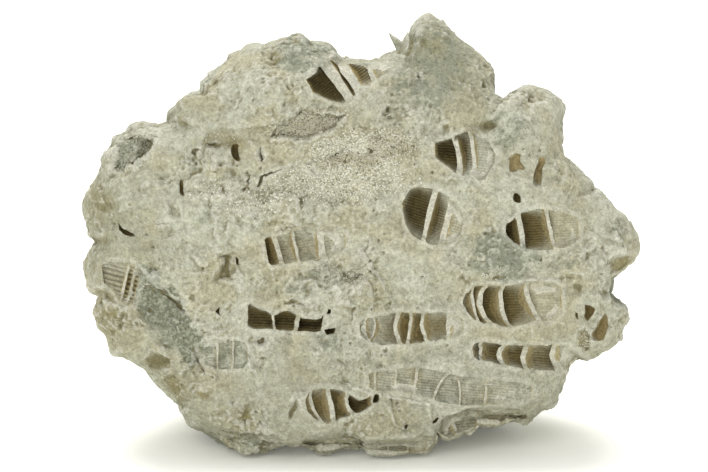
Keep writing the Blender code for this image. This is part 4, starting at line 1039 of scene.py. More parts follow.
# marks of the front: middle u, v, half length, half height, strength, and turn in degrees if it is turned
marks = {
    "grey": (
        (306, 54, 34, 22, 0.9, 10), (425, 82, 46, 34, 0.55), (428, 40, 24, 10, 0.6), (360, 72, 34, 12, 0.5),
        (505, 130, 28, 20, 0.6), (508, 252, 44, 32, 0.85), (470, 262, 30, 14, 0.5), (328, 273, 20, 18, 0.8),
        (622, 230, 11, 16, 0.7), (332, 343, 16, 8, 0.7), (250, 442, 20, 9, 0.5),
        (134, 155, 24, 13, 0.9, 40), (508, 278, 16, 7, 0.9), (205, 220, 12, 5, 0.7),
        (195, 358, 7, 16, 0.9, -20), (450, 386, 70, 14, 0.4, 3), (222, 354, 28, 14, 0.6),
        (560, 170, 20, 30, 0.4), (380, 300, 40, 12, 0.4), (455, 62, 26, 26, 0.5), (428, 44, 12, 9, 1),
        (410, 432, 26, 10, 0.4), (560, 262, 26, 12, 0.5), (290, 286, 50, 10, 0.5), (300, 346, 56, 9, 0.4),
        (400, 362, 70, 10, 0.4), (190, 162, 14, 10, 0.5),
    ),
    # stain: brown stains, and painted shadow in the recesses under ledges, in the grooves of the lower left
    # and along the underside
    "stainAndShadow": (
        (96, 200, 14, 11, 0.5), (108, 314, 11, 7, 0.7), (158, 364, 12, 6, 0.8), (176, 391, 12, 8, 0.7, -40),
        (204, 395, 5, 5, 0.8), (245, 417, 7, 11, 1, -15), (308, 124, 38, 13, 0.55, 4), (272, 55, 3, 8, 0.8),
        (225, 270, 12, 16, 0.5), (222, 141, 26, 9, 0.6), (624, 264, 12, 8, 0.9, 20), (586, 340, 8, 12, 0.8),
        (300, 226, 30, 6, 0.5, -5), (480, 127, 14, 6, 0.6), (104, 262, 12, 6, 0.5, 20),
        (320, 445, 45, 6, 0.5), (500, 418, 40, 7, 0.5), (290, 96, 6, 8, 0.4), (385, 137, 20, 8, 0.4),
        (188, 122, 14, 5, 0.5), (348, 160, 34, 8, 0.8, 6), (392, 146, 26, 12, 0.6, -10),
        (430, 44, 13, 7, 0.5), (226, 140, 22, 8, 0.3), (96, 330, 16, 20, 0.4), (210, 368, 14, 5, 0.4, 20),
    ),
    "druse": (
        (362, 152, 58, 20, 1, 10), (332, 182, 84, 22, 0.7, 4), (308, 124, 38, 13, 0.9, 4),
        (134, 154, 22, 12, 0.8, 40), (210, 190, 26, 12, 0.5), (250, 205, 40, 10, 0.5),
        (500, 276, 18, 8, 0.6), (330, 270, 16, 16, 0.5),
    ),
    # olive: the rock's own olive tone, and painted shade on the left edge, the lower parts and the
    # underside band
    "olive": (
        (430, 42, 26, 20, 1), (436, 50, 48, 46, 0.9), (455, 85, 60, 26, 0.5), (96, 240, 26, 80, 0.8),
        (128, 250, 40, 90, 0.4), (112, 330, 34, 40, 0.6), (170, 390, 60, 34, 0.6, -40),
        (240, 430, 70, 34, 0.6), (290, 396, 110, 44, 0.35), (420, 425, 90, 34, 0.4),
        (520, 395, 70, 34, 0.5), (185, 110, 22, 18, 0.5), (320, 120, 46, 18, 0.3), (350, 160, 40, 14, 0.35),
        (480, 330, 120, 40, 0.15), (330, 446, 60, 6, 0.9),
    ),
    "slab": (
        (145, 282, 14, 16, 1, 30), (162, 308, 24, 25, 1, 35), (178, 326, 16, 22, 1, 15),
        (190, 350, 9, 18, 0.9, -25),
    ),
    "smooth": (
        (166, 310, 26, 38, 0.2, 35), (470, 262, 50, 20, 0.4), (500, 334, 80, 10, 0.6),
        (450, 390, 80, 14, 0.7, 3), (345, 382, 60, 12, 0.4), (280, 292, 40, 12, 0.5),
        (440, 75, 40, 30, 0.4),
    ),
}

# the same behind, from noise: its two sizes in mm, share of the smaller, seed, its values from none to all,
# strength
marksBehind = {
    "grey": (13, 5, 0.5, 81, 0.25, 0.75, 1.0),
    "stainAndShadow": (10, 3, 0.6, 83, 0.45, 0.9, 0.7),
    "druse": (9, 3, 0.5, 85, 0.55, 0.9, 1.0),
    "olive": (22, 7, 0.4, 87, -0.2, 0.6, 0.7),
}

# what roughens the stone: mm up and down, and mm across
relief = {
    "ridges": (0.26, 3.4),
    "ridgeStretch": 2.6,     # how much longer the ridges lie along the lump
    "knobs": (0.45, 4.2),
    "smallKnobs": (0.24, 1.9),
    "crust": (0.25, 1.7),
    "crumbs": (0.11, 0.5),
    "brokenFaces": (0.5, 6.0, 1.3),       # the third is their slope
    "smallBrokenFaces": (0.25, 2.4, 0.6),
    "pores": (0.35, 1.5),
    "druseGrains": (0.36, 0.7),
    "druseHollows": (0.25, 2.2),
}


def markMask(u, v, patches, points):
    # 1 inside ragged ovals: exp(-gap^2) for each, after noise has shifted the places
    shiftU = 6 * smoothNoise(points, 3.0 * mm, 61) + 3 * smoothNoise(points, 1.1 * mm, 62)
    shiftV = 5 * smoothNoise(points, 2.6 * mm, 63) + 3 * smoothNoise(points, 1.0 * mm, 64)
    mask = np.zeros_like(u)
    for middleU, middleV, length, height, strength, *turn in patches:
        gap = ovalGap(u + shiftU - middleU, v + shiftV - middleV, length, height, *(turn or [0]))
        mask = np.maximum(mask, strength * np.exp(-np.clip(gap, 0, 6) ** 2))
    return mask


def smoothed(points, edges, times):
    # each point moved to the mean of its neighbours, some times over
    count = len(points)
    ends = np.concatenate((edges[:, 0], edges[:, 1]))
    others = np.concatenate((edges[:, 1], edges[:, 0]))
    degree = np.bincount(ends, minlength=count)[:, None]
    for _ in range(times):
        sums = [np.bincount(ends, weights=points[others, k], minlength=count) for k in range(3)]
        points = 0.5 * points + 0.5 * np.stack(sums, axis=1) / degree
    return points


ball, ballQuads = ballGrid(lump["facesAlongEdge"])
polar, around = ballAngles(ball)
points = lumpPoints(polar, around, True)
base = makeMesh("base", points, ballQuads)
normals = rowsOf(base.data.vertex_normals, "vector")
edges = np.empty(len(base.data.edges) * 2, np.int32)
base.data.edges.foreach_get("vertices", edges)
edges = edges.reshape(-1, 2)
bpy.data.objects.remove(base)

viewU, viewV, _ = seenFrom("front", points)
isFront = smoothStep(-0.1, 0.25, np.cos(polar))
isBack = 1 - isFront
inPatch = {key: isFront * markMask(viewU, viewV, marks[key], points) for key in marks}
shiftU, shiftV = wandered(viewU, viewV, points, lump["lineRaggedness"])
for shape, _, softness, *strengths in lump["hollows"]:
    share = isFront * insideShape(shiftU, shiftV, shape, softness + 0.5)
    for key, strength in zip(("grey", "stainAndShadow", "druse"), strengths):
        inPatch[key] = np.maximum(inPatch[key], strength * share)
for key, (broadSize, smallSize, small, seed, low, high, strength) in marksBehind.items():
    noise = smoothNoise(points, broadSize * mm, seed)
    noise = noise + small * smoothNoise(points, smallSize * mm, seed + 1)
    inPatch[key] = np.maximum(inPatch[key], isBack * strength * smoothStep(low, high, noise))

# distance from the nearest tube mouth, for the lip around it and the recess inside it
gap = np.full(len(points), 99.0)
for tube in allTubes:
    right, up, inward = sideAxes(tube["side"])
    facing = normals @ -inward > 0.1
    u, v, _ = seenFrom(tube["side"], points)
    gap = np.where(facing, np.minimum(gap, mouthGap(tube, u, v)), gap)
inMouth = smoothStep(-1.0, -6.0, gap)
onLip = np.exp(-((gap - 2.6) / 2.6) ** 2)
nearMouth = smoothStep(9, 2, gap)



def swelling(name, seed):
    # height * smooth noise of the size
    height, size = relief[name]
    return height * smoothNoise(points, size * mm, seed)


def ridged(name, places, octaves, seed):
    # height * (1 - 2 |noise|): ridges where the noise passes zero
    height, size = relief[name]
    return height * (1 - 2 * np.abs(fractalNoise(places, size * mm, octaves, seed)))


def brokenFaces(name, places, seed):
    # facets of the size, with their steps and slopes
    height, size, slope = relief[name]
    return facets(places, size * mm, seed, height, slope)


# roughness: lying ridges, knobs, crust, broken faces and scattered pores, less on smooth areas and at the
# mouths, and more where the rock is chipped
rough = ridged("ridges", points / np.array((relief["ridgeStretch"], 1.0, 1.0)), 2, 11)
rough += swelling("knobs", 21) + swelling("smallKnobs", 22)
chipped = smoothStep(-0.35, 0.3, smoothNoise(points, 6 * mm, 37) + 0.4 * smoothNoise(points, 2.5 * mm, 38))
rough += (0.3 + 0.7 * chipped) * (ridged("crust", points, 3, 26) + swelling("crumbs", 24))
warped = points + 1.3 * mm * noiseVectors(points, 3 * mm, 31)
warped += 0.35 * mm * noiseVectors(points, 0.8 * mm, 34)
faces = brokenFaces("brokenFaces", warped, 41) + brokenFaces("smallBrokenFaces", warped, 52)
rough += (0.4 + 0.6 * chipped) * faces
poreDepth, poreSize = relief["pores"]
pore, poreMark = nearestCells(points, poreSize * mm, 91)
rough -= poreDepth * smoothStep(0.24, 0.10, pore) * (poreMark > 0.9 - 0.4 * chipped)
# druse: a grain in each small cell, and hollows between groups of them
grainHeight, grainSize = relief["druseGrains"]
hollowDepth, hollowSize = relief["druseHollows"]
grain, grainMark = nearestCells(points, grainSize * mm, 71)
pitted = smoothStep(0.1, 0.7, smoothNoise(points, hollowSize * mm, 74))
crystals = (0.9 - 1.6 * grain + 0.4 * grainMark) * grainHeight - hollowDepth * pitted
calm = (1 - 0.6 * inPatch["smooth"]) * (1 - 0.5 * nearMouth) * (1 - 0.8 * inMouth)
height = calm * rough * (1 - 0.3 * inPatch["druse"]) + inPatch["druse"] * crystals * (1 - nearMouth)
height += tubes["lip"] * onLip - tubes["recess"] * inMouth
onFloor = smoothStep(0.3 * mm, 1.2 * mm, points[:, 2])
points = points + normals * (height * mm * onFloor)[:, None]
points[:, 2] = np.clip(points[:, 2], 0, None)

# hollows and crests: how far the smoothed surface lies outside the point, for painted shade and highlight
fine = np.einsum("ij,ij->i", smoothed(points, edges, 3) - points, normals) / mm
broad = np.einsum("ij,ij->i", smoothed(points, edges, 30) - points, normals) / mm
pale = np.clip(0.35 * onLip + 0.6 * inMouth, 0, 1)
# each attribute has three values, and the third of region isn't used
corners = {
    "tone": np.stack((fine, broad, pale), axis=1),
    "marks": np.stack((inPatch["grey"], inPatch["stainAndShadow"], inPatch["druse"]), axis=1),
    "region": np.stack((inPatch["olive"], inPatch["slab"], np.zeros(len(points))), axis=1),
    "tube": np.zeros((len(points), 3)),
}
quads, _ = facingOut(points, ballQuads, np.zeros((0, 3), int))
whole = makeMesh("whole", points, quads, (), corners)
print("stage: lump", len(points), "points")

spur = {
    # middle u, v, half width, half thickness in mm, from the root to the tip
    "rings": ((410, 66, 11, 2.0), (408, 60, 9, 1.6), (405, 53, 7, 1.3), (401, 46, 5, 1.0),
              (396, 40, 3.4, 0.7), (392, 35.5, 2.0, 0.5), (389, 32, 0.6, 0.2)),
    "depth": -1.4,           # mm from the middle
    "along": 24,
    "around": 24,
}


def spurShell():
    # narrowing rings from inside the rock to the tip
    turns = np.arange(spur["around"]) * 2 * math.pi / spur["around"]
    knots = np.array(spur["rings"], float)
    steps = np.linspace(0, len(knots) - 1, spur["along"])
    values = [np.interp(steps, np.arange(len(knots)), knots[:, k])[:, None] for k in range(4)]
    u, v, halfWidth, halfThickness = values
    ringU = u + halfWidth * np.cos(turns)
    ringV = v - 0.5 * halfWidth * np.cos(turns)
    depth = (spur["depth"] + halfThickness * np.sin(turns)) * mm
    rings = placed("front", ringU, ringV, depth).reshape(-1, 3)
    ends = [placed("front", u[k], v[k], np.full(1, spur["depth"] * mm)) for k in (0, -1)]
    points = np.concatenate((rings, *ends))
    points = points + 0.16 * mm * noiseVectors(points, 1.0 * mm, 91)
    return points, np.zeros((len(points), 4)), len(steps), spur["around"]


pits = {
    # in front: outline as drawn, depth in mm, how dark the painted shade inside is
    "drawn": (
        (((509, 157), (513, 155), (519, 154), (523, 152), (521, 158), (523, 164), (527, 169), (520, 169),
          (515, 172), (510, 170), (511, 163)), 1.5, 0.6),
        (((545, 151), (550, 153), (548, 160), (545, 164), (543, 172), (543, 183), (538, 184), (535, 178),
          (536, 172), (539, 164), (540, 157)), 1.5, 0.7),
        (((515, 193), (519, 193), (523, 197), (522, 202), (517, 203), (514, 199)), 2.2, 1.5),
        (((587, 304), (599, 309), (594, 316), (590, 322), (586, 317), (587, 310)), 2.6, 0.9),
        (((608, 313), (611, 322), (609, 333), (604, 341), (597, 341), (593, 335), (599, 327), (604, 318)),
         2.4, 0.55),
        (((577, 312), (580, 313), (580, 320), (577, 318)), 1.4, 1),
        (((230, 143), (237, 143), (237, 152), (239, 161), (236, 161), (231, 157), (229, 150)), 2.3, 1.5),
        (((115, 222), (120, 228), (126, 231), (133, 235), (129, 237), (121, 234), (117, 230)), 2, 1.9),
        (((177, 178), (181, 178), (181, 186), (183, 195), (180, 196), (177, 187)), 1.8, 1.5),
        (((219, 306), (217, 311), (220, 318), (216, 314), (213, 312)), 1.6, 1.9),
        (((327, 309), (330, 310), (330, 314), (326, 314)), 2.2, 1.9),
        (((323, 330), (327, 330), (331, 328), (335, 329), (334, 334), (326, 335)), 2.4, 2),
        (((374, 395), (379, 396), (378, 403), (373, 404)), 2.2, 1.9),
        (((405, 426), (408, 425), (408, 430), (405, 431)), 1.3, 1.2),
        (((234, 256), (237, 259), (238, 266), (235, 263)), 1.8, 1.7),
        (((433, 422), (437, 419), (440, 418), (437, 423), (434, 425)), 1.6, 1.5),
        (((331, 396), (336, 397), (336, 401), (332, 402)), 2.8, 2.2),
    ),
    # side, middle u, v, half width, half height, turn in degrees, depth mm
    "round": (
        ("left", 280, 240, 18, 14, 30, 3.4),
        ("left", 335, 285, 11, 17, -20, 3),
        ("right", 384, 196, 9, 7, 25, 1.5),
        ("right", 452, 204, 18, 11, -40, 2.8),
        ("back", 352, 118, 14, 10, 20, 2.6),
    ),
    "around": 40,
    "rounding": 4,           # times that the corners of the outline are smoothed
    # mm above or share of the depth below the surface, and the size of the outline there
    "above": ((-2.5, 1.25), (-1.2, 1.12), (-0.4, 1.03)),
    "inside": ((0.0, 1.0), (0.25, 0.95), (0.5, 0.85), (0.75, 0.68), (0.92, 0.4)),
}


def ovalCorners(u, v, halfWidth, halfHeight, turn):
    # twelve places on a turned oval
    turns = np.arange(12) * math.pi / 6
    along, aside = halfWidth * np.cos(turns), halfHeight * np.sin(turns)
    turn = math.radians(turn)
    return np.stack((u + along * math.cos(turn) + aside * math.sin(turn),
                     v - along * math.sin(turn) + aside * math.cos(turn)), axis=1)


def pitShell(side, corners, depth, shade, seed):
    # rings of the drawn outline from above the surface down to a blunt bottom, with a ragged edge
    ring = np.array((*corners, corners[0]), float)
    lengths = np.concatenate(([0], np.cumsum(np.hypot(*np.diff(ring, axis=0).T))))
    places = np.linspace(0, lengths[-1], pits["around"], endpoint=False)
    outline = np.stack([np.interp(places, lengths, ring[:, k]) for k in range(2)], axis=1)
    for _ in range(pits["rounding"]):
        outline = 0.5 * outline + 0.25 * np.roll(outline, 1, axis=0) + 0.25 * np.roll(outline, -1, axis=0)
    center = outline.mean(axis=0)
    outline = center + (outline - center) * (1.05 + 0.06 * ragged(places * 4, seed))[:, None]
    if np.cross(outline - center, np.roll(outline, -1, axis=0) - center).sum() > 0:
        outline = outline[::-1]
    surface = surfaceDepth(seat, side, *center)
    steps = np.array([(level, size) for level, size in pits["above"]]
                     + [(level * depth, size) for level, size in pits["inside"]])
    u, v = (center[k] + (outline[None, :, k] - center[k]) * steps[:, 1:] for k in range(2))
    points = placed(side, u, v, surface + steps[:, :1] * mm + 0 * u).reshape(-1, 3)
    ends = [placed(side, np.full(1, center[0]), np.full(1, center[1]), np.full(1, surface + level * mm))
            for level in (pits["above"][0][0], depth)]
    points = np.concatenate((points, *ends))
    points = points + 0.16 * mm * noiseVectors(points, 0.7 * mm, seed * 7)
    # inside: painted shade that deepens with the depth; where the shade is under 1 the walls take the
    # plates' golden colour
    below = np.concatenate((np.repeat(steps[:, 0], pits["around"]), (0, depth)))
    golden = min(1.0, max(0.0, 2.4 - 2 * shade)) * (below > 0.1)
    values = np.stack((0.4 + below * shade, 0 * below, golden, 0 * below), axis=1)
    return points, values, len(steps), pits["around"]


# putting the stone together
spurPiece = shellObject("spur", [spurShell()])
whole = combined("wholeWithSpur", whole, [spurPiece], "UNION")
roundPits = [(side, ovalCorners(*oval), depth, 1.0) for side, *oval, depth in pits["round"]]
drawnPits = [("front", *pit) for pit in pits["drawn"]] + roundPits
pitTools = shellObject("pitTools", [pitShell(*pit, seed) for seed, pit in enumerate(drawnPits, 1)])
pieces = {}
outers = {}
for key in ("upper", "lower", "around"):
    shells = [tubeShell(tube) for tube in seated[key]]
    outerTubes = [shellObject(f"outer{key}{number}", [(shell[0], np.zeros((len(shell[0]), 4)), *shell[1:])])
                  for number, shell in enumerate(shells)]
    outers[key] = combined(f"outer{key}", outerTubes[0], outerTubes[1:], "UNION")
    rooms = []
    for number, tube in enumerate(seated[key]):
        pairs = zip(tube["plates"], tube["plates"][1:])
        rooms += [chamberShell(tube, a, b, 100 * number + 10 * k) for k, (a, b) in enumerate(pairs)]
    roomTools = shellObject(f"rooms{key}", rooms)
    block = combined(f"block{key}", whole, [outers[key]], "INTERSECT")
    name = "corallites" + key.capitalize()
    pieces[key] = combined(name, block, [roomTools, pitTools], "DIFFERENCE")
    print("stage:", name, len(pieces[key].data.polygons), "faces")
rock = combined("rock", whole, [*outers.values(), pitTools], "DIFFERENCE")

cuts = {
    "depth": 2.0,            # mm behind the middle at which the back begins
    "height": 33.0,          # mm over the floor between the upper and the lower front
    "reach": 100.0,          # mm from the middle to the far sides of the cutting blocks
}


def blockBox(name, low, high):
    # a box from its two corners, in mm
    places = np.array(list(itertools.product(*zip(low, high)))) * mm
    faces = ((0, 1, 3, 2), (4, 6, 7, 5), (0, 4, 5, 1), (2, 3, 7, 6), (0, 2, 6, 4), (1, 5, 7, 3))
    corners = {key: np.zeros((8, 3)) for key in ("tone", "marks", "region", "tube")}
    return makeMesh(name, places, faces, (), corners)


far, depthCut, heightCut = cuts["reach"], cuts["depth"], cuts["height"]
for name, low, high in (("limestoneMatrixUpper", (-far, -far, heightCut), (far, depthCut, far)),
                        ("limestoneMatrixLower", (-far, -far, -far), (far, depthCut, heightCut)),
                        ("limestoneMatrixBack", (-far, depthCut, -far), (far, far, far))):
    pieces[name] = combined(name, rock, [blockBox("block" + name, low, high)], "INTERSECT")
    print("stage:", name, len(pieces[name].data.polygons), "faces")

druse = {
    "count": 9000,
    "sizes": (0.12, 0.23),   # mm from the middle of a crystal to its corners
    "stretch": (0.7, 1.3),   # of each of its three axes
    "scatter": 0.12,         # mm by which its middle strays
    "sunk": 0.5,             # share of the size that lies in the rock
    "deepest": 0.25,         # mm of the cracks and pocks that crystals still grow in
    "fromMouth": 3.0,        # units from the rim of a tube
    "fromFloor": 2.0,        # mm
}


def druseCrystals(chances):
    # octahedra of seeded size and turn on seeded points of the lump, drawn by their chances
    random = np.random.default_rng(12)
    count = druse["count"]
    chosen = random.choice(len(points), count, p=chances / chances.sum())
    sizes = random.uniform(*druse["sizes"], count)[:, None] * mm
    frames = np.linalg.qr(random.normal(size=(count, 3, 3)))[0]
    middles = points[chosen] + normals[chosen] * sizes * (1 - 2 * druse["sunk"])
    middles += random.normal(size=(count, 3)) * druse["scatter"] * mm
    stretch = random.uniform(*druse["stretch"], (count, 3, 1))
    spokes = frames * sizes[:, :, None] * stretch
    tips = np.concatenate((spokes, -spokes), axis=1)
    places = (middles[:, None, :] + tips).reshape(-1, 3)
    corners = np.array(((0, 1, 2), (1, 3, 2), (3, 4, 2), (4, 0, 2),
                        (1, 0, 5), (3, 1, 5), (4, 3, 5), (0, 4, 5)))
    flipped = (np.linalg.det(frames) < 0)[:, None, None]
    faces = np.where(flipped, corners[:, ::-1], corners) + 6 * np.arange(count)[:, None, None]
    shades = random.uniform(0, 1, count)
    marked = np.stack((inPatch["grey"][chosen], inPatch["stainAndShadow"][chosen], shades), axis=1)
    corners = {"marks": np.repeat(marked, 6, axis=0)}
    return makeMesh("druseCrystals", places, (), faces.reshape(-1, 3), corners)


towardFront = normals @ -sideAxes("front")[2]
openly = smoothStep(0.35, 0.6, np.abs(towardFront)) * (0.25 + isFront)
notches = dentDepth(shiftU, shiftV, lump["pocks"]) + lineDepth(shiftU, shiftV, lump["lines"])
free = (gap > druse["fromMouth"]) & (notches <= druse["deepest"] * mm)
free = free & (points[:, 2] > druse["fromFloor"] * mm)
chances = inPatch["druse"] ** 2 * openly * free
pieces["crystals"] = druseCrystals(chances)
print("stage: crystals", druse["count"])

# the fine model takes the size and place of the CAD lump, axis by axis
cadLow, cadHigh = (np.array(corner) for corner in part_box("fossil_coral_block"))
rawPoints = np.concatenate([rowsOf(piece.data.vertices, "co") for piece in pieces.values()])
rawLow, rawHigh = rawPoints.min(axis=0), rawPoints.max(axis=0)
fitScale = (cadHigh - cadLow) / (rawHigh - rawLow)
fitShift = cadLow - rawLow * fitScale
print("stage: fit", fitScale.round(4).tolist(), (fitShift / mm).round(2).tolist())

# what was only used for cutting goes
kept = set(pieces.values())
for thing in list(bpy.data.objects):
    if thing.type == "MESH" and thing not in kept and "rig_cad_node" not in thing:
        bpy.data.objects.remove(thing)


def linear(red, green, blue):
    # scene-linear colour of an 8-bit screen colour
    values = [c / 255 for c in (red, green, blue)]
    return (*[v / 12.92 if v < 0.04 else ((v + 0.055) / 1.055) ** 2.4 for v in values], 1.0)


# colours as seen on a screen, in even light
stone = {
    "cream": linear(178, 178, 160),
    "warm": linear(171, 167, 142),
    # olive: partly the rock's own tone, partly painted shade where the rock turns away from the light
    "olive": linear(132, 131, 107),
    "grey": linear(131, 134, 116),
    "darkGrey": linear(84, 86, 74),
    "pale": linear(202, 200, 187),
    # a mottling colour, also the painted shade in the hollows
    "hollow": linear(118, 112, 82),
    # brown of the stains, also used as painted shadow under ledges and in grooves
    "stainAndShadow": linear(120, 109, 60),
    "grain": linear(196, 193, 174),
    "gap": linear(116, 106, 66),
    # floor and deep: the tubes' brown, darkened with the depth below the surface as painted shade
    "floor": linear(108, 94, 50),
    "deepShade": linear(80, 70, 37),
    # groove: painted shade in the troughs between the ribs
    "groove": linear(40, 34, 18),
    # plate: golden, lighter than the chamber floor, partly painted light on the plate faces
    "plate": linear(166, 148, 98),
    "slab": linear(114, 117, 98),
    "slabPale": linear(144, 146, 127),
    "crystal": linear(222, 221, 208),
    "crystalDark": linear(190, 186, 160),
    # how much of each effect covers what lies under it
    "shares": {
        "clouds": 0.28, "olive": 0.85, "specks": 0.8, "slabSpecks": 0.75, "stainAndShadow": 0.75, "druse": 0.35,
        "druseGaps": 0.95, "speckGaps": 0.4, "fineHollowShade": 0.45, "broadHollowShade": 0.5, "crestHighlight": 0.45,
        "rims": 0.8, "tubeFloor": 0.92, "tubeDepthShade": 0.9, "plates": 0.62, "grooveShade": 0.32,
        "crystalGrey": 0.8, "crystalStain": 0.5,
    },
    # darkest and lightest shade of the grain and the blotches over all of it
    "shades": {"Grain": (0.86, 1.13), "Blotches": (0.88, 1.11)},
    "roughness": 0.9,
    "specular": 0.25,
    "crystalRoughness": 0.5,
    "crystalSpecular": 0.4,
}


def addNode(tree, kind, inputs=None, **settings):
    # one node, with its settings and with values or sockets on its inputs
    made = tree.nodes.new(kind)
    for key, value in settings.items():
        setattr(made, key, value)
    for key, value in (inputs or {}).items():
        if isinstance(value, bpy.types.NodeSocket):
            tree.links.new(value, made.inputs[key])
        else:
            made.inputs[key].default_value = value
    return made


def mixed(tree, factor, first, second, blend="MIX"):
    # colour mix of first and second
    inputs = {0: factor, 6: first, 7: second}
    return addNode(tree, "ShaderNodeMix", inputs, data_type="RGBA", blend_type=blend).outputs[2]


def ramped(tree, value, low, high):
    # smooth step of a value from low to high, 0 to 1
    made = addNode(tree, "ShaderNodeMapRange", {0: value, 1: low, 2: high}, interpolation_type="SMOOTHSTEP")
    return made.outputs[0]


def calculated(tree, operation, first, second=0.0):
    # first and second put together by a maths operation
    return addNode(tree, "ShaderNodeMath", {0: first, 1: second}, operation=operation).outputs[0]


def newGroup(name, inputs, outputs):
    # an empty shader node group with named float inputs (or vectors, where the name ends in Place)
    group = bpy.data.node_groups.new(name, "ShaderNodeTree")
    for each in inputs:
        kind = "NodeSocketVector" if each.endswith("Place") else "NodeSocketFloat"
        group.interface.new_socket(name=each, in_out="INPUT", socket_type=kind)
    for each, kind in outputs.items():
        group.interface.new_socket(name=each, in_out="OUTPUT", socket_type=kind)
    return group, group.nodes.new("NodeGroupInput").outputs, group.nodes.new("NodeGroupOutput").inputs


def noiseAt(tree, place, scale, detail=2.0, roughness=0.5):
    # noise from 0 to 1
    inputs = {"Vector": place, "Scale": scale, "Detail": detail, "Roughness": roughness}
    return addNode(tree, "ShaderNodeTexNoise", inputs).outputs[0]


def makeMottle():
    # masks from noise, each a smooth step between two of its values: scale, detail, low, high
    masks = {
        "Warmth": (110.0, 2.0, 0.4, 0.65), "Clouds": (560.0, 5.0, 0.38, 0.66),
        "Blotches": (1300.0, 3.0, 0.32, 0.68), "Specks": (1900.0, 1.5, 0.60, 0.68),
        "Granules": (2100.0, 1.5, 0.46, 0.6), "Grain": (2700.0, 2.0, 0.3, 0.7),
    }
    group, given, out = newGroup("mottle", ["Object Place"], {key: "NodeSocketFloat" for key in masks})
    for key, (scale, detail, low, high) in masks.items():
        noise = noiseAt(group, given["Object Place"], scale, detail)
        group.links.new(ramped(group, noise, low, high), out[key])
    return group


def makeGrainHeight():
    # bump height: fine grain over a coarser one
    group, given, out = newGroup("grainHeight", ["Object Place", "Coarse"], {"Height": "NodeSocketFloat"})
    place = given["Object Place"]
    fine = noiseAt(group, place, 3200.0, 3.0, 0.6)
    coarse = calculated(group, "MULTIPLY", noiseAt(group, place, 1300.0, 2.0), given["Coarse"])
    group.links.new(calculated(group, "ADD", fine, coarse), out["Height"])
    return group


def addGrain(tree, shader, place, grainGroup, coarse, strength, distance):
    # the grain as a bump on the shader
    inputs = {"Object Place": place, "Coarse": coarse}
    height = addNode(tree, "ShaderNodeGroup", inputs, node_tree=grainGroup).outputs[0]
    bump = addNode(tree, "ShaderNodeBump", {"Strength": strength, "Distance": distance, "Height": height})
    tree.links.new(bump.outputs[0], shader.inputs["Normal"])


def makeCrystal(grainGroup):
    # druse crystals: pale, greyer where the rock is grey, each with its own shade
    material = bpy.data.materials.new("druseCrystal")
    material.use_nodes = True
    tree = material.node_tree
    shader = tree.nodes["Principled BSDF"]
    read = addNode(tree, "ShaderNodeAttribute", attribute_name="marks")
    parts = addNode(tree, "ShaderNodeSeparateXYZ", {0: read.outputs["Vector"]}).outputs
    colour = mixed(tree, parts[2], stone["crystal"], stone["crystalDark"])
    for effect, mark, over in (("crystalGrey", parts[0], "grey"), ("crystalStain", parts[1], "stainAndShadow")):
        share = calculated(tree, "MULTIPLY", mark, stone["shares"][effect])
        colour = mixed(tree, share, colour, stone[over])
    tree.links.new(colour, shader.inputs["Base Color"])
    shader.inputs["Roughness"].default_value = stone["crystalRoughness"]
    shader.inputs["Specular IOR Level"].default_value = stone["crystalSpecular"]
    place = addNode(tree, "ShaderNodeTexCoord").outputs["Object"]
    addGrain(tree, shader, place, grainGroup, coarse=0.5, strength=0.3, distance=0.0001)
    return material


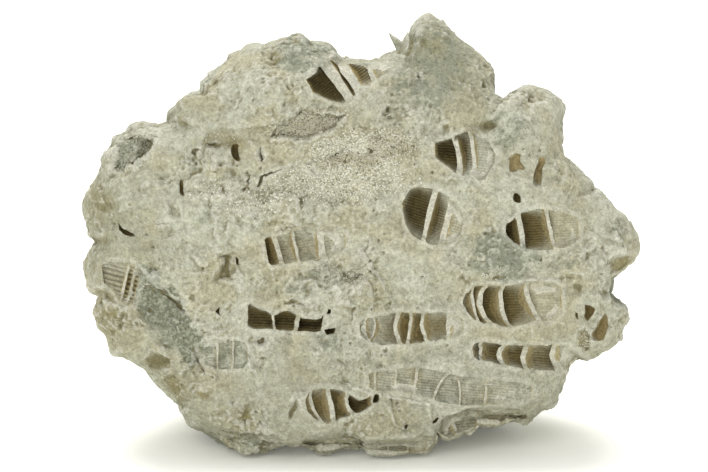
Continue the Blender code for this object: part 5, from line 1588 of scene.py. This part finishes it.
def makeStone(mottle, grainGroup):
    # limestone: cream mottled by noise, then patches of grey, olive (partly painted shade on the left edge
    # and the lower parts), stain (partly painted shadow under ledges) and druse, painted shade in the
    # hollows, a painted highlight on the crests, paler rims, and in the tubes a brown that deepens with the
    # depth below the surface, partly painted shade, with painted shade in the rib grooves and golden
    # plates, partly painted light
    material = bpy.data.materials.new("fossilLimestone")
    material.use_nodes = True
    tree = material.node_tree
    shader = tree.nodes["Principled BSDF"]
    place = addNode(tree, "ShaderNodeTexCoord").outputs["Object"]
    spots = addNode(tree, "ShaderNodeGroup", {"Object Place": place}, node_tree=mottle).outputs
    parts = {}
    for key in ("tone", "marks", "region", "tube"):
        read = addNode(tree, "ShaderNodeAttribute", attribute_name=key)
        parts[key] = addNode(tree, "ShaderNodeSeparateXYZ", {0: read.outputs["Vector"]}).outputs
    fine, broad, pale = (parts["tone"][k] for k in range(3))
    grey, stainAndShadow, druse = (parts["marks"][k] for k in range(3))
    olive, slab = (parts["region"][k] for k in range(2))
    below, groove, plate = (parts["tube"][k] for k in range(3))

    def times(first, second):
        return calculated(tree, "MULTIPLY", first, second)

    def plus(first, second):
        return calculated(tree, "ADD", first, second)

    def part(effect, factor, colour, over):
        # colour under the share that the effect has of another
        return mixed(tree, times(factor, stone["shares"][effect]), colour, stone[over])

    colour = mixed(tree, spots["Warmth"], stone["cream"], stone["warm"])
    colour = part("clouds", spots["Clouds"], colour, "hollow")
    # olive patches: partly the rock's own tone, partly painted shade on the left edge and the lower parts
    colour = part("olive", olive, colour, "olive")
    greyHere = times(grey, plus(spots["Clouds"], 0.55))
    colour = mixed(tree, ramped(tree, greyHere, 0.1, 1.0), colour, stone["grey"])
    colour = part("specks", times(grey, spots["Specks"]), colour, "darkGrey")
    slabColour = mixed(tree, spots["Granules"], stone["slab"], stone["slabPale"])
    slabColour = part("slabSpecks", spots["Specks"], slabColour, "darkGrey")
    slabHere = plus(slab, times(spots["Clouds"], -0.3))
    colour = mixed(tree, ramped(tree, slabHere, 0.15, 0.5), colour, slabColour)
    # stain patches: brown stains, and painted shadow under ledges and in grooves
    colour = part("stainAndShadow", stainAndShadow, colour, "stainAndShadow")
    colour = part("druse", druse, colour, "grain")
    brown = times(plus(stainAndShadow, 0.2), spots["Granules"])
    colour = part("druseGaps", times(druse, brown), colour, "gap")
    colour = part("speckGaps", times(spots["Specks"], spots["Clouds"]), colour, "gap")
    # painted shade: darker in the fine and broad hollows of the surface
    fineHollowShade = times(ramped(tree, fine, 0.005, 0.10), stone["shares"]["fineHollowShade"])
    broadHollowShade = times(ramped(tree, broad, 0.03, 0.5), stone["shares"]["broadHollowShade"])
    sunk = plus(fineHollowShade, broadHollowShade)
    colour = mixed(tree, sunk, colour, stone["hollow"])
    # painted highlight: paler on the crests of the surface
    colour = part("crestHighlight", ramped(tree, times(fine, -1.0), 0.01, 0.08), colour, "pale")
    colour = part("rims", pale, colour, "pale")
    # inside the tubes: brown that deepens with the depth below the surface, partly own colour, partly
    # painted shade; painted shade in the rib grooves; golden plate faces, partly painted light
    floorHere = ramped(tree, below, 0.2, 2.2)
    colour = part("tubeFloor", floorHere, colour, "floor")
    colour = part("tubeDepthShade", ramped(tree, below, 2.0, 5.2), colour, "deepShade")
    # golden plate faces: partly painted light
    colour = part("plates", plate, colour, "plate")
    # painted shade in the troughs between the ribs, stronger deeper in the tube
    colour = part("grooveShade", times(groove, plus(floorHere, 0.7)), colour, "groove")
    # grain and blotches over all of it
    for key, (low, high) in stone["shades"].items():
        shade = addNode(tree, "ShaderNodeMapRange", {0: spots[key], 3: low, 4: high}).outputs[0]
        shadeColour = addNode(tree, "ShaderNodeCombineColor", {0: shade, 1: shade, 2: shade}).outputs[0]
        colour = mixed(tree, 1.0, colour, shadeColour, "MULTIPLY")
    tree.links.new(colour, shader.inputs["Base Color"])
    shader.inputs["Roughness"].default_value = stone["roughness"]
    shader.inputs["Specular IOR Level"].default_value = stone["specular"]
    addGrain(tree, shader, place, grainGroup, coarse=1.2, strength=0.9, distance=0.0004)
    return material


grainGroup = makeGrainHeight()
limestone = makeStone(makeMottle(), grainGroup)
crystalStone = makeCrystal(grainGroup)

for key, piece in pieces.items():
    mesh = piece.data
    place = rowsOf(mesh.vertices, "co") * fitScale + fitShift
    mesh.vertices.foreach_set("co", place.astype(np.float32).ravel())
    mesh.materials.clear()
    mesh.materials.append(crystalStone if key == "crystals" else limestone)
    mesh.update()
    if key != "crystals":
        mesh.shade_smooth()
        mesh.set_sharp_from_angle(angle=math.radians(60 if key.startswith("limestone") else 48))
    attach(piece, "root")
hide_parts("fossil_coral_block")
print("stage: stone pieces finished")

# floor, light and camera
studio = {
    "floorColour": (0.93, 0.935, 0.88, 1.0),
    "floorGlow": 0.09,       # light of the floor's own, which lifts the shadow
    "worldStrength": 0.78,
    # watts, size and place of each soft light
    "lights": {"topLight": (84.0, 2.0, (-0.2, 1.4, 2.35)), "keyLight": (43.0, 1.8, (-0.6, -2.6, 1.15))},
    "lightAim": (0.0, 0.0, 0.03),
    "floorHalf": 6.0,
    "aimU": 354.0,           # place of the picture that lies in the middle of the photo
    "aimV": 239.0,
    "photoWidth": 708.0,
    "lensStretch": 1.0135,   # how much longer the lens is than the photo's width asks for
}

floorMaterial = bpy.data.materials.new("paleFloor")
floorMaterial.use_nodes = True
floorShader = floorMaterial.node_tree.nodes["Principled BSDF"]
floorShader.inputs["Base Color"].default_value = studio["floorColour"]
floorShader.inputs["Roughness"].default_value = 0.7
floorShader.inputs["Emission Color"].default_value = studio["floorColour"]
floorShader.inputs["Emission Strength"].default_value = studio["floorGlow"]
floorShader.inputs["Specular IOR Level"].default_value = 0.1
half = studio["floorHalf"]
floorCorners = ((-half, -half, 0), (half, -half, 0), (half, half, 0), (-half, half, 0))
floor = makeMesh("floor", floorCorners, ((0, 1, 2, 3),))
floor.data.materials.append(floorMaterial)
floor.location.z = -0.00005

world = bpy.data.worlds.new("studioWorld")
bpy.context.scene.world = world
world.use_nodes = True
background = world.node_tree.nodes["Background"]
background.inputs["Color"].default_value = (1.0, 1.0, 1.0, 1.0)
background.inputs["Strength"].default_value = studio["worldStrength"]


def areaLight(name, watts, size, place, aim):
    # a square soft light that faces its aim
    light = bpy.data.lights.new(name, "AREA")
    light.energy = watts
    light.size = size
    made = bpy.data.objects.new(name, light)
    made.location = place
    made.rotation_mode = "QUATERNION"
    made.rotation_quaternion = (Vector(aim) - Vector(place)).to_track_quat("-Z", "Y")
    bpy.context.scene.collection.objects.link(made)


for name, settings in studio["lights"].items():
    areaLight(name, *settings, studio["lightAim"])

right, up, inward = sideAxes("front")
camera = bpy.data.objects.new("camera", bpy.data.cameras.new("camera"))
bpy.context.scene.collection.objects.link(camera)
bpy.context.scene.camera = camera
camera.data.type = "PERSP"
camera.data.sensor_width = 36.0
photoWidth = studio["photoWidth"] * unit
camera.data.lens = camera.data.sensor_width * picture["distance"] / photoWidth * studio["lensStretch"]
eye = middle - inward * picture["distance"] + fitShift * (1, 1, 0)
toRight, toUp = studio["aimU"] - picture["centreU"], picture["centreV"] - studio["aimV"]
aim = middle + toRight * unit * right + toUp * unit * up + fitShift * (1, 1, 0)
camera.location = Vector(eye)
camera.rotation_mode = "QUATERNION"
camera.rotation_quaternion = Vector(aim - eye).to_track_quat("-Z", "Y")
camera.data.clip_start = 0.05
camera.data.clip_end = 30.0
bpy.context.scene.view_settings.view_transform = "Standard"
bpy.context.scene.view_settings.look = "None"

print("stage: scene ready")
